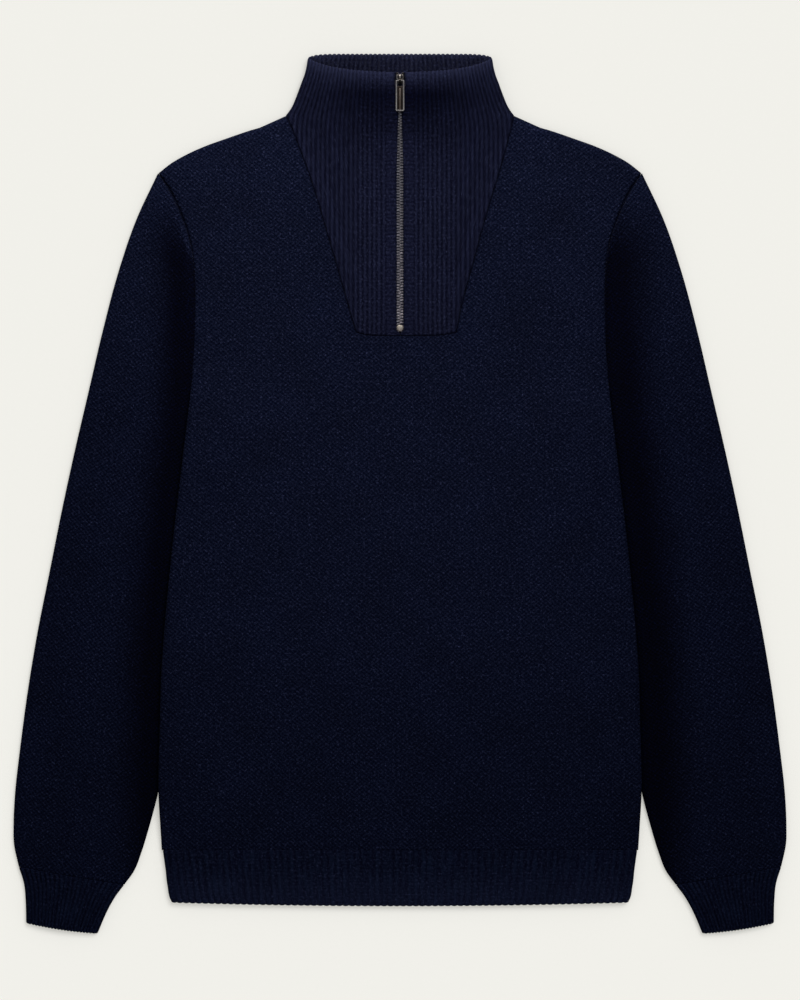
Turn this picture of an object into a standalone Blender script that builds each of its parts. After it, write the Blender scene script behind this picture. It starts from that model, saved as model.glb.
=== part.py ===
"""Quarter zip sweater lying flat on its back, collar towards +Y.

Metres, +Z up. The origin is on the floor, under the middle of the sweater's outline.
Left and right are the left and right of someone who looks down at the front.
Sizes below are in millimetres and are turned into metres when a mesh is made.
"""

import math

import bmesh
import bpy
import numpy as np

MM = 0.001
LEFT, RIGHT = -1, 1

# Cloth thicknesses and the gap between pieces that are sewn together
KNIT_WALL = 2.6
BAND_WALL = 2.8
COLLAR_WALL = 3.8
SEAM_GAP = 0.45
LAYER_GAP = 0.3

# Folded edges: how far in from the edge the cloth has turned flat
SIDE_REACH = 7.0
SLEEVE_REACH = 6.0
SHOULDER_REACH = 5.0
BAND_REACH = 5.0
COLLAR_REACH = 6.0

# A folded edge is drawn with points at these angles round it
FOLD_ANGLES = (0.0, 30.0, 60.0, 90.0)
FOLD_STEPS = np.array([1.0 - math.cos(math.radians(angle)) for angle in FOLD_ANGLES])
FOLD_RISES = np.array([math.sin(math.radians(angle)) for angle in FOLD_ANGLES])

# Angles above which an edge stays sharp
CLOTH_SMOOTH_ANGLE = 50.0
METAL_SMOOTH_ANGLE = 30.0

# Share of the wall that is left where a free edge is rounded
BAND_LIP_SHARE = 0.5
BACK_LIP_SHARE = 0.3
FRONT_LIP_SHARES = (0.3, 0.85)

# Heights on the sheet (Y) where pieces meet
HEM_TOP = -320.7
INSERT_FOOT = 144.0
UNDERARM = 88.0
SHOULDER_TIP = 289.0
NECK_CORNER = 340.5
NECK_DIP = 14.0
COLLAR_BACK_TOP = 396.2
BACK_NECK_GAP = 1.0

# Numbers of cells
LOWER_BODY_ROWS = 11
UPPER_BODY_ROWS = 8
BODY_SIDE_CELLS = 5
BODY_MIDDLE_CELLS = 4
SLEEVE_TOP_CELLS = 11
SLEEVE_UNDER_CELLS = 8
CUFF_UNDER_CELLS = 2
HEM_BACK_CELLS = 10
TAPE_ROWS = 12
CHAIN_CELLS = 14
SEAM_SAMPLES = 80

# Ribs: spacing and height of the ridges above the wall's mean face
HEM_RIB_PITCH = 6.0
CUFF_RIBS = 19
FRONT_RIB_PITCH = 4.3
BACK_COLLAR_RIBS = 38
RIB_HEIGHT = 0.45
COLLAR_RIB_HEIGHT = 0.35
PLAIN_STRIP = 12.5
PLAIN_MIDDLE = 8.0

# Zip, a size 5 metal one
TAPE_INNER = 0.5
TAPE_OUTER = 12.0
TAPE_THICKNESS = 0.8
TAPE_FOOT = 145.4
TAPE_TOP = 379.2
CHAIN_WIDTH = 6.2
CHAIN_THICKNESS = 1.9
CHAIN_FOOT = 152.6
CHAIN_TOP = 369.0
CHAIN_RISE = 0.15
BOTTOM_STOP_LENGTH = 5.6
BOTTOM_STOP_WIDTH = 6.8
STOP_THICKNESS = 2.1
TOP_STOP_LENGTH = 1.1
TOP_STOP_WIDTH = 1.8
TOP_STOP_SIDE = 2.6
TOP_STOP_BEVEL = 0.3
SLIDER_FOOT = 369.4
SLIDER_LENGTH = 8.4
SLIDER_WIDTH = 7.8
SLIDER_NECK_WIDTH = 5.4
SLIDER_NECK_CORNER = 0.8
SLIDER_NECK_LENGTH = 3.0
SLIDER_SHOULDER = 5.2
SLIDER_TOP_CORNER = (1.2, 1.4)
SLIDER_BASE = 6.5
SLIDER_THICKNESS = 3.8
PIVOT_Y = 371.9
PIVOT_Z = 11.5
BRIDGE_WIDTH = 1.8
BRIDGE_LENGTH = 5.4
BRIDGE_LEG = 1.1
BRIDGE_TOP = 13.2
BRIDGE_BAR = 0.8
BRIDGE_SINK = 0.6
CUT_THROUGH = 3.0
TAB_WIDTH = 8.0
TAB_LENGTH = 27.5
TAB_THICKNESS = 1.2
TAB_RIM = 1.7
TAB_BAR = 1.1
TAB_WINDOW = 5.0
TAB_RECESS_START = 7.4
TAB_RECESS_LENGTH = 18.4
TAB_RECESS_DEPTH = 0.35
TAB_CORNER = 0.5

NAVY_KNIT = (0.0105, 0.0140, 0.0360, 1.0)
NAVY_RIB = (0.0125, 0.0150, 0.0380, 1.0)
NAVY_TAPE = (0.0060, 0.0070, 0.0180, 1.0)
GUNMETAL = (0.180, 0.175, 0.170, 1.0)
PALE_METAL = (0.420, 0.410, 0.390, 1.0)
KNIT_ROUGHNESS = 0.92
RIB_ROUGHNESS = 0.90
TAPE_ROUGHNESS = 0.80
GUNMETAL_ROUGHNESS = 0.38
PALE_ROUGHNESS = 0.35


def table(names, rows):
    """A short table as named columns."""
    columns = np.array(rows, dtype=float).T
    return dict(zip(names.split(), columns))


# Body, a row for each section from the hem seam to the shoulder tip: half of the outline's
# width, how far the side is lifted by the sleeve under it, how much of the edge is rolled
# over (1 at a side seam, less at an armhole), and the space between front and back.
BODY = table("y half_width lift roll side_gap middle_gap", (
    (-320.7, 214.6, 0.0, 1.00, 0.8, 1.6),
    (-300.0, 215.8, 2.6, 1.00, 0.7, 2.4),
    (-272.0, 217.3, 6.3, 1.00, 0.5, 3.1),
    (-215.0, 216.4, 6.5, 1.00, 0.5, 3.5),
    (-159.0, 214.7, 6.5, 1.00, 0.5, 3.6),
    (-72.0, 207.5, 6.5, 1.00, 0.5, 3.6),
    (31.0, 195.8, 6.5, 1.00, 0.5, 3.6),
    (64.0, 191.9, 6.4, 1.00, 0.6, 3.6),
    (88.0, 189.0, 3.4, 0.70, 0.9, 3.6),
    (116.0, 186.8, 0.0, 0.35, 1.2, 3.5),
    (150.0, 185.4, 0.0, 0.35, 1.3, 3.5),
    (190.0, 185.0, 0.0, 0.35, 1.3, 3.4),
    (208.0, 185.9, 0.0, 0.35, 1.3, 3.3),
    (227.0, 189.3, 0.0, 0.35, 1.2, 3.1),
    (247.0, 196.0, 0.0, 0.35, 1.1, 2.8),
    (266.0, 204.2, 0.0, 0.35, 1.0, 2.2),
    (281.0, 212.6, 0.0, 0.35, 0.9, 1.6),
    (289.0, 217.5, 0.0, 0.35, 0.8, 1.3),
))

# The lift holds for the first distance from the side and fades over the second
LIFT_HOLD = 16.0
LIFT_FADE = 84.0

# Shoulder line from the shoulder tip to the neck corner
SHOULDER = table("x y", (
    (103.0, 340.5),
    (113.9, 334.0),
    (135.5, 327.4),
    (157.1, 320.0),
    (176.9, 312.8),
    (193.1, 305.4),
    (206.6, 297.6),
    (217.5, 289.0),
))

# Seam between the front panel and the ribbed insert, which sits a little to the right
INSERT_SEAM = table("y left_x right_x", (
    (144.0, 39.5, 51.0),
    (162.5, 44.9, 54.2),
    (190.0, 52.6, 61.1),
    (212.0, 59.0, 67.3),
    (237.0, 66.4, 73.9),
    (268.0, 75.5, 83.0),
    (290.0, 82.8, 89.8),
    (312.0, 91.0, 96.0),
    (327.0, 96.6, 99.8),
    (340.5, 103.0, 103.0),
))

# Sleeve, a row for each section from the cuff seam to the armhole: the outer edge, the
# underarm edge, which the body hides for most of its length, and the space inside.
SLEEVE = table("share outer_x outer_y inner_x inner_y crown", (
    (0.00, 343.4, -335.8, 248.4, -351.9, 2.6),
    (0.03, 347.4, -318.0, 239.8, -340.0, 3.3),
    (0.07, 348.2, -300.0, 233.0, -323.0, 3.6),
    (0.12, 347.0, -272.0, 225.4, -298.0, 3.7),
    (0.19, 342.5, -231.0, 216.2, -262.0, 3.8),
    (0.27, 335.3, -177.0, 206.8, -212.0, 3.8),
    (0.35, 326.3, -123.0, 199.6, -160.0, 3.8),
    (0.43, 315.5, -69.0, 194.6, -110.0, 3.8),
    (0.51, 304.7, -15.0, 191.4, -64.0, 3.8),
    (0.59, 293.0, 39.0, 189.4, -22.0, 3.8),
    (0.67, 280.4, 93.0, 188.8, 14.0, 3.8),
    (0.76, 267.8, 147.0, 190.4, 42.0, 3.7),
    (0.85, 253.4, 201.0, 192.6, 62.0, 3.5),
    (0.93, 237.2, 248.0, 191.2, 77.0, 2.8),
    (1.00, 218.0, 289.0, 189.5, 88.0, 1.4),
))
SLEEVE_SHARES = (0.0, 0.03, 0.08, 0.16, 0.27, 0.39, 0.51, 0.63, 0.74, 0.83, 0.90, 0.95, 1.0)
SLEEVE_EDGE_GAP = 0.4

# How sharply a sleeve's rows take up the armhole's bow on their way to it
ARMHOLE_PULL = 6

# Shares of a tube's width over which the space inside grows from its outer and inner edge
TUBE_OUTER_RISE = 0.45
TUBE_INNER_RISE = 0.5

# Cuff from the cuff seam to its free edge
CUFF = table("share outer_x outer_y inner_x inner_y", (
    (0.00, 343.2, -336.5, 248.9, -352.6),
    (0.30, 338.9, -350.5, 256.4, -362.6),
    (0.65, 337.2, -367.5, 264.4, -377.0),
    (1.00, 336.8, -386.6, 272.6, -396.2),
))
CUFF_SHARES = (0.0, 0.16, 0.95, 1.0)
CUFF_EDGE_GAP = 0.4
CUFF_CROWN = 2.2
CUFF_EDGE_BOW = 1.2

# Hem band from its seam to its free edge
HEM = table("share y half_width gap bow", (
    (0.00, -321.2, 213.6, 1.6, 0.0),
    (0.40, -339.0, 211.2, 1.8, 0.5),
    (0.75, -355.0, 209.4, 2.0, 1.8),
    (0.95, -368.2, 206.8, 2.2, 3.0),
    (1.00, -371.0, 205.2, 2.2, 3.4),
))
HEM_SHARES = (0.0, 0.12, 0.95, 1.0)

# Collar, half of the outline's width at each height
COLLAR = table("y half_width", (
    (340.5, 103.0),
    (345.0, 99.6),
    (350.0, 96.6),
    (356.0, 94.1),
    (363.0, 91.4),
    (370.5, 88.7),
    (378.0, 85.9),
    (385.0, 84.2),
    (391.0, 83.2),
    (396.2, 81.8),
))

# Rows of the collar's back by share of its height, and the fall of its edge at the sides
BACK_COLLAR_SHARES = (0.0, 0.5, 0.955, 0.995)
BACK_CORNER_DROP = 3.0
BACK_CORNER_POWER = 12

# Front edge of the collar, by the share of the way from the zip to the side
COLLAR_EDGE = table("share y", (
    (0.00, 379.7),
    (0.32, 381.0),
    (0.60, 383.6),
    (0.83, 387.6),
    (0.93, 390.4),
    (1.00, 392.6),
))

# Rows of the insert and collar, counted down from the front edge: the distance that every
# row has, and its share of what a column is longer than the shortest one.
INSERT_ROWS = table("near far", (
    (0.3, 0.0),
    (1.9, 0.0),
    (8.0, 0.02),
    (16.0, 0.07),
    (26.0, 0.13),
    (38.0, 0.30),
    (46.0, 0.62),
    (52.0, 1.0),
))

# Layers at the insert and collar, by height on the sheet: cloth below, space between the
# layers beside the zip, further out and at the edge, and the insert's own wall.
NECK = table("y below zip_gap crown_gap side_gap wall", (
    (144.0, 2.6, 1.9, 3.3, 3.3, 2.6),
    (200.0, 2.6, 2.1, 3.4, 3.3, 2.6),
    (280.0, 2.6, 2.1, 3.0, 2.6, 2.6),
    (318.0, 3.2, 2.0, 2.3, 1.5, 2.8),
    (340.0, 3.8, 2.0, 2.1, 1.2, 3.3),
    (352.0, 3.8, 2.0, 2.3, 1.2, 3.7),
    (366.0, 3.8, 2.2, 3.3, 1.3, 3.8),
    (376.0, 3.8, 2.4, 3.7, 1.4, 3.8),
    (396.0, 3.8, 2.4, 3.7, 1.5, 3.8),
))
CROWN_SHARE = 0.30
SIDE_RUN = 0.6
LEAN_SHARE = 0.5
ZIP_EDGE_SHARE = 0.08

# Half of the opening in which the chain and the slider lie
ZIP_OPENING = table("y half_width", (
    (144.0, 3.7),
    (358.0, 3.7),
    (366.0, 4.5),
    (396.0, 4.5),
))


def ease(share):
    """Smooth step from 0 to 1, level at both ends."""
    share = np.clip(share, 0.0, 1.0)
    return share * share * (3.0 - 2.0 * share)


def curve_at(where, places, values):
    """Smooth curve through the rows of a table, at one place or several."""
    slopes = np.gradient(values, places)
    index = np.clip(np.searchsorted(places, where) - 1, 0, len(places) - 2)
    span = places[index + 1] - places[index]
    t = np.clip((where - places[index]) / span, 0.0, 1.0)
    start = (1.0 + 2.0 * t) * (1.0 - t) ** 2 * values[index]
    end = t * t * (3.0 - 2.0 * t) * values[index + 1]
    turns = t * (1.0 - t) ** 2 * slopes[index] - t * t * (1.0 - t) * slopes[index + 1]
    return start + end + span * turns


def level_at(where, places, values):
    """Curve through the rows of a table that never goes past a row's value."""
    index = np.clip(np.searchsorted(places, where) - 1, 0, len(places) - 2)
    share = (where - places[index]) / (places[index + 1] - places[index])
    return values[index] + (values[index + 1] - values[index]) * ease(share)


def blend(start, end, share):
    """Straight mix of two values or points."""
    return start + (end - start) * share


def rib_wave(count):
    """Ridge and valley in turn, starting and ending in a valley."""
    return np.array([1.0 if index % 2 else -1.0 for index in range(count)])


def across(width, inset, reach, cells, both_folded=True):
    """Distances of a row's points from its folded edge, and how far the cloth has risen there."""
    fold = inset + (reach - inset) * FOLD_STEPS
    last = width - reach if both_folded else width
    flat = np.linspace(reach, last, cells + 1)[1:-1]
    end = width - fold[::-1] if both_folded else np.array([width])
    end_rises = FOLD_RISES[::-1] if both_folded else np.array([1.0])
    distances = np.concatenate([fold, flat, end])
    rises = np.concatenate([FOLD_RISES, np.ones(len(flat)), end_rises])
    return distances, rises


def sheet_height(side, outer, below, gap, wall, rises):
    """Height of the outer or inner face of the upper (side 1) or lower (side -1) sheet.

    below is the height of the lower sheet's inner face, gap the space between the two
    inner faces, and rises is 1 on flat cloth and 0 at a fully folded edge.
    """
    parting = below + gap / 2.0
    depth = gap / 2.0 - LAYER_GAP / 2.0 + (wall if outer else 0.0)
    return parting + side * (LAYER_GAP / 2.0 + depth * rises)


def wall_faces(rows, columns, cells, ring):
    """Faces of a closed wall between an outer and an inner grid, over the cells present."""
    across_count = columns if ring else columns - 1
    offset = rows * columns
    faces = []
    border = {}
    for row in range(rows - 1):
        for column in range(across_count):
            if cells is not None and not cells[row][column]:
                continue
            beside = (column + 1) % columns
            corners = (row * columns + column, row * columns + beside,
                       (row + 1) * columns + beside, (row + 1) * columns + column)
            faces.append(corners)
            faces.append(tuple(corner + offset for corner in reversed(corners)))
            for start, end in zip(corners, corners[1:] + corners[:1]):
                if (end, start) in border:
                    del border[(end, start)]
                else:
                    border[(start, end)] = True
    for start, end in border:
        faces.append((end, start, start + offset, end + offset))
    return faces


def clear_scene():
    """Remove the objects that a new scene starts with."""
    for thing in list(bpy.data.objects):
        bpy.data.objects.remove(thing, do_unlink=True)


def make_material(name, colour, roughness, metallic=0.0):
    """Plain material with one shader."""
    material = bpy.data.materials.new(name)
    material.use_nodes = True
    shader = material.node_tree.nodes["Principled BSDF"]
    shader.inputs["Base Color"].default_value = colour
    shader.inputs["Roughness"].default_value = roughness
    shader.inputs["Metallic"].default_value = metallic
    return material


def place_object(name, mesh, material, parent, location=(0.0, 0.0, 0.0)):
    """Put a mesh into the scene as one named piece."""
    piece = bpy.data.objects.new(name, mesh)
    bpy.context.scene.collection.objects.link(piece)
    piece.data.materials.append(material)
    piece.parent = parent
    piece.location = location
    return piece


def finish_mesh(name, builder, smooth_angle):
    """Turn a bmesh into a mesh with its faces outward and its round parts smooth."""
    bmesh.ops.recalc_face_normals(builder, faces=builder.faces)
    mesh = bpy.data.meshes.new(name)
    builder.to_mesh(mesh)
    builder.free()
    mesh.shade_smooth()
    mesh.set_sharp_from_angle(angle=math.radians(smooth_angle))
    return mesh


def make_wall(name, outer, inner, material, parent, cells=None, ring=False):
    """Cloth piece between an outer and an inner grid of points in millimetres."""
    rows, columns = outer.shape[:2]
    points = np.concatenate([outer.reshape(-1, 3), inner.reshape(-1, 3)])
    faces = wall_faces(rows, columns, cells, ring)
    used = sorted({corner for face in faces for corner in face})
    builder = bmesh.new()
    verts = {index: builder.verts.new(points[index] * MM) for index in used}
    for face in faces:
        builder.faces.new([verts[corner] for corner in face])
    mesh = finish_mesh(name, builder, CLOTH_SMOOTH_ANGLE)
    return place_object(name, mesh, material, parent)


def body_half_width(y):
    """Half of the body's width at a height on the sheet."""
    return curve_at(y, BODY["y"], BODY["half_width"])


def body_level(name, y):
    """One of the body's table columns at a height on the sheet."""
    return level_at(y, BODY["y"], BODY[name])


def insert_half_width(side, y):
    """Distance of the insert's seam from the middle."""
    column = "left_x" if side == LEFT else "right_x"
    return curve_at(y, INSERT_SEAM["y"], INSERT_SEAM[column])


def body_rows(inset):
    """Rows of the body: height at the side, height at the insert's seam, bulge and rise.

    Up to the insert's foot the rows are level. Above it they tilt more and more, until the
    last ones follow the shoulder line and go round its fold.
    """
    rows = []
    for y in np.linspace(HEM_TOP, INSERT_FOOT, LOWER_BODY_ROWS + 1):
        rows.append((y, y, 0.0, 1.0))
    for share in np.linspace(0.0, 1.0, UPPER_BODY_ROWS + 1)[1:-1]:
        side_y = blend(INSERT_FOOT, SHOULDER_TIP - SHOULDER_REACH, share)
        seam_y = blend(INSERT_FOOT, NECK_CORNER - SHOULDER_REACH, share)
        rows.append((side_y, seam_y, share * share, 1.0))
    for step, rise in zip(FOLD_STEPS[::-1], FOLD_RISES[::-1]):
        drop = inset + (SHOULDER_REACH - inset) * step
        rows.append((SHOULDER_TIP - drop, NECK_CORNER - drop, 1.0, rise))
    return rows


def shoulder_bulge(x, seam_x):
    """How far the shoulder line lies above the straight line from tip to neck corner."""
    share = (body_half_width(SHOULDER_TIP) - x) / (body_half_width(SHOULDER_TIP) - seam_x)
    straight = blend(SHOULDER_TIP, NECK_CORNER, share)
    return np.maximum(curve_at(x, SHOULDER["x"], SHOULDER["y"]) - straight, 0.0)


def body_grid(layer, outer):
    """Grid of one face of the front (layer 1) or back (layer -1) panel."""
    grid = []
    for side_y, seam_y, bulge, rise in body_rows(0.0 if outer else KNIT_WALL):
        width = body_half_width(side_y)
        roll = body_level("roll", side_y)
        halves = []
        for side in (LEFT, RIGHT):
            seam_x = insert_half_width(side, max(seam_y, INSERT_FOOT))
            distances, rises = across(width - seam_x, 0.0 if outer else KNIT_WALL * roll,
                                      SIDE_REACH, BODY_SIDE_CELLS, both_folded=False)
            x = width - distances
            y = blend(side_y, seam_y, distances / (width - seam_x))
            y = y + bulge * shoulder_bulge(x, seam_x)
            halves.append((side * x, y, (1.0 - roll * (1.0 - rises)) * rise))
        left, right = halves
        shares = np.linspace(0.0, 1.0, BODY_MIDDLE_CELLS + 1)[1:-1]
        dip = NECK_DIP * bulge * (1.0 - (2.0 * shares - 1.0) ** 2)
        x = np.concatenate([left[0], blend(left[0][-1], right[0][-1], shares), right[0][::-1]])
        y = np.concatenate([left[1], seam_y - dip, right[1][::-1]])
        rises = np.concatenate([left[2], np.ones(len(shares)), right[2][::-1]])
        grid.append(np.stack([x, y, body_height(layer, outer, x, side_y, width, rises)], axis=1))
    return np.array(grid)


def body_floor(x, y, width):
    """Height to which the sleeve under the body's side lifts the back panel."""
    from_edge = width - np.abs(x)
    return body_level("lift", y) * (1.0 - ease((from_edge - LIFT_HOLD) / LIFT_FADE))


def body_gap(x, y, width):
    """Space between front and back."""
    side_gap = body_level("side_gap", y)
    return side_gap + (body_level("middle_gap", y) - side_gap) * (1.0 - (x / width) ** 2)


def body_height(layer, outer, x, y, width, rises):
    """Height of one face of the front or back panel along a row."""
    below = body_floor(x, y, width) + KNIT_WALL
    return sheet_height(layer, outer, below, body_gap(x, y, width), KNIT_WALL, rises)


def make_front(material, parent):
    """Front panel, without the cells where the ribbed insert lies."""
    outer = body_grid(1, True)
    inner = body_grid(1, False)
    side_cells = BODY_SIDE_CELLS + len(FOLD_STEPS) - 1
    cells = []
    for row in range(outer.shape[0] - 1):
        middle = row < LOWER_BODY_ROWS
        cells.append([True] * side_cells + [middle] * BODY_MIDDLE_CELLS + [True] * side_cells)
    return make_wall("body_front", outer, inner, material, parent, cells)


def make_back(material, parent):
    """Back panel, whole up to the back neck."""
    return make_wall("body_back", body_grid(-1, True), body_grid(-1, False), material, parent)


def tube_rings(side, rows, outer, wall, top_cells, under_cells, reach, edge_gap, top_offsets):
    """Rings of a flattened tube: along its upper sheet and back along the lower one.

    Each row is (outer edge, inner edge, gap in the middle, bow of the row, bend), where
    bend moves the row's points sideways, as at the armhole.
    """
    inset = 0.0 if outer else wall
    grid = []
    for start, end, crown, bow, bend in rows:
        width = math.hypot(end[0] - start[0], end[1] - start[1])
        ring = []
        for layer, cells in ((1, top_cells), (-1, under_cells)):
            distances, rises = across(width, inset, reach, cells)
            share = distances / width
            rise = ease(share / TUBE_OUTER_RISE) * ease((1.0 - share) / TUBE_INNER_RISE)
            gap = edge_gap + (crown - edge_gap) * rise
            x = blend(start[0], end[0], share)
            y = blend(start[1], end[1], share) - bow * 4.0 * share * (1.0 - share)
            x, y = bend(x, y, share)
            z = sheet_height(layer, outer, wall, gap, wall, rises)
            if outer and layer == 1 and top_offsets is not None:
                z = z + top_offsets * rises
            points = np.stack([side * x, y, z], axis=1)
            ring.append(points if layer == 1 else points[::-1])
        grid.append(np.concatenate(ring))
    return np.array(grid)


def sleeve_rows():
    """Rows of a sleeve from the cuff seam to the armhole."""
    rows = []
    tip = np.array([body_half_width(SHOULDER_TIP), SHOULDER_TIP])
    pit = np.array([body_half_width(UNDERARM), UNDERARM])
    for share in SLEEVE_SHARES:
        start = [curve_at(share, SLEEVE["share"], SLEEVE[name]) for name in ("outer_x", "outer_y")]
        end = [curve_at(share, SLEEVE["share"], SLEEVE[name]) for name in ("inner_x", "inner_y")]
        crown = level_at(share, SLEEVE["share"], SLEEVE["crown"])
        pull = share ** ARMHOLE_PULL

        def bend(x, y, along, pull=pull):
            seam_y = blend(SHOULDER_TIP, UNDERARM, along)
            inward = body_half_width(seam_y) - blend(tip[0], pit[0], along)
            return x + pull * inward, y
        rows.append((start, end, crown, 0.0, bend))
    return rows


def make_sleeve(side, name, material, parent):
    """Sleeve as a flattened tube from cuff seam to armhole."""
    rows = sleeve_rows()
    grids = [tube_rings(side, rows, outer, KNIT_WALL, SLEEVE_TOP_CELLS, SLEEVE_UNDER_CELLS,
                        SLEEVE_REACH, SLEEVE_EDGE_GAP, None) for outer in (True, False)]
    return make_wall(name, grids[0], grids[1], material, parent, ring=True)


def keep(x, y, along):
    """No bend."""
    return x, y


def cuff_rows():
    """Rows of a cuff from its seam to its free edge."""
    rows = []
    for share in CUFF_SHARES:
        start = [curve_at(share, CUFF["share"], CUFF[name]) for name in ("outer_x", "outer_y")]
        end = [curve_at(share, CUFF["share"], CUFF[name]) for name in ("inner_x", "inner_y")]
        rows.append((start, end, CUFF_CROWN, CUFF_EDGE_BOW * share, keep))
    return rows


def make_cuff(side, name, material, parent):
    """Ribbed cuff as a flattened tube, its ribs raised on the side that shows."""
    top_cells = 2 * CUFF_RIBS
    fold_cells = len(FOLD_STEPS) - 1
    offsets = np.zeros(top_cells + 1 + 2 * fold_cells)
    offsets[fold_cells:fold_cells + top_cells + 1] = RIB_HEIGHT * rib_wave(top_cells + 1)
    grids = [tube_rings(side, cuff_rows(), outer, BAND_WALL, top_cells, CUFF_UNDER_CELLS,
                        BAND_REACH, CUFF_EDGE_GAP, offsets) for outer in (True, False)]
    round_lip(grids[0], grids[1], -1, BAND_LIP_SHARE)
    return make_wall(name, grids[0], grids[1], material, parent, ring=True)


def round_lip(outer, inner, row, kept):
    """Thin the wall at one row of its grids to the share that is kept, to round a free edge."""
    middle = (outer[row] + inner[row]) / 2.0
    outer[row] = blend(middle, outer[row], kept)
    inner[row] = blend(middle, inner[row], kept)


def hem_grid(layer, outer, cells, ribbed):
    """Grid of one face of the front or back hem band."""
    grid = []
    for share in HEM_SHARES:
        width = curve_at(share, HEM["share"], HEM["half_width"])
        gap = level_at(share, HEM["share"], HEM["gap"])
        distances, rises = across(2.0 * width, 0.0 if outer else BAND_WALL, BAND_REACH, cells)
        x = distances - width
        y = curve_at(share, HEM["share"], HEM["y"])
        y = y + curve_at(share, HEM["share"], HEM["bow"]) * (x / width) ** 2
        z = sheet_height(layer, outer, BAND_WALL, gap, BAND_WALL, rises)
        if ribbed and outer:
            wave = np.zeros(len(x))
            first = len(FOLD_STEPS) - 1
            wave[first:first + cells + 1] = rib_wave(cells + 1)
            z = z + RIB_HEIGHT * wave * rises
        grid.append(np.stack([x, y, z], axis=1))
    return np.array(grid)


def make_hem(name, layer, cells, ribbed, material, parent):
    """Hem band of the front or the back."""
    outer = hem_grid(layer, True, cells, ribbed)
    inner = hem_grid(layer, False, cells, ribbed)
    round_lip(outer, inner, -1, BAND_LIP_SHARE)
    return make_wall(name, outer, inner, material, parent)


def collar_half_width(y):
    """Half of the collar's width, which stays the same below the neck corner."""
    return curve_at(np.maximum(y, COLLAR["y"][0]), COLLAR["y"], COLLAR["half_width"])


def insert_foot(side, x):
    """Height where a rib that stands at x begins, at the insert's seam."""
    heights = np.linspace(INSERT_FOOT, NECK_CORNER, SEAM_SAMPLES)
    seam = insert_half_width(side, heights) - SEAM_GAP
    return np.interp(x, seam, heights, left=INSERT_FOOT) + SEAM_GAP


def zip_side(y):
    """Half of the opening for the zip."""
    return level_at(np.clip(y, INSERT_FOOT, COLLAR_BACK_TOP), ZIP_OPENING["y"],
                    ZIP_OPENING["half_width"])


def insert_columns(inset):
    """Distances of the insert's columns from the middle at its widest, rises and ribs."""
    widest = collar_half_width(NECK_CORNER)
    first = ZIP_OPENING["half_width"][0]
    ribbed = widest - COLLAR_REACH - PLAIN_STRIP
    count = 2 * int(round(ribbed / FRONT_RIB_PITCH))
    ribs = np.linspace(PLAIN_STRIP, widest - COLLAR_REACH, count + 1)
    fold = widest - (inset + (COLLAR_REACH - inset) * FOLD_STEPS[::-1])
    places = np.concatenate([[first, PLAIN_MIDDLE], ribs, fold[1:]])
    rises = np.concatenate([np.ones(len(ribs) + 2), FOLD_RISES[::-1][1:]])
    wave = np.concatenate([[0.0, 0.0], rib_wave(count + 1), np.zeros(len(fold) - 1)])
    return places, rises, wave


def insert_layers(name, y):
    """One of the neck table's columns at heights on the sheet."""
    return level_at(np.clip(y, INSERT_FOOT, COLLAR_BACK_TOP), NECK["y"], NECK[name])


def insert_gap(y, share):
    """Space under the insert: low beside the zip, highest further out, low at the side."""
    crown = insert_layers("crown_gap", y)
    inner = blend(insert_layers("zip_gap", y), crown, ease(share / CROWN_SHARE))
    outer = blend(crown, insert_layers("side_gap", y), ease((share - CROWN_SHARE) / SIDE_RUN))
    return np.where(share < CROWN_SHARE, inner, outer)


def insert_grid(side, outer):
    """Grid of one face of a half of the ribbed insert and collar, from its edge down."""
    inset = 0.0 if outer else COLLAR_WALL
    places, rises, wave = insert_columns(inset)
    widest = collar_half_width(NECK_CORNER)
    share = (places - places[0]) / (widest - places[0])
    top = curve_at(share, COLLAR_EDGE["share"], COLLAR_EDGE["y"])
    foot = insert_foot(side, places)
    length = top - foot
    near, far = INSERT_ROWS["near"], INSERT_ROWS["far"]
    grid = []
    for row in range(len(near)):
        drop = near[row] / near[-1] * np.minimum(length, near[-1])
        drop = drop + far[row] * np.maximum(length - near[-1], 0.0)
        y = top - drop
        lean = collar_half_width(y) / widest
        edge = zip_side(y)
        x = np.where(wave == 0.0, places, places * lean)
        x = np.where(share > LEAN_SHARE, places * lean, x)
        x = x + (edge - places[0]) * (1.0 - ease(share / ZIP_EDGE_SHARE))
        gap = insert_gap(y, share)
        wall = insert_layers("wall", y)
        z = sheet_height(1, outer, insert_layers("below", y), gap, wall, rises)
        if outer:
            z = z + COLLAR_RIB_HEIGHT * wave
        grid.append(np.stack([side * x, y, z], axis=1))
    return np.array(grid)


def make_insert(side, name, material, parent):
    """Left or right half of the ribbed insert and the front of the collar."""
    outer = insert_grid(side, True)
    inner = insert_grid(side, False)
    for row, kept in enumerate(FRONT_LIP_SHARES):
        round_lip(outer, inner, row, kept)
    return make_wall(name, outer, inner, material, parent)


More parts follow.
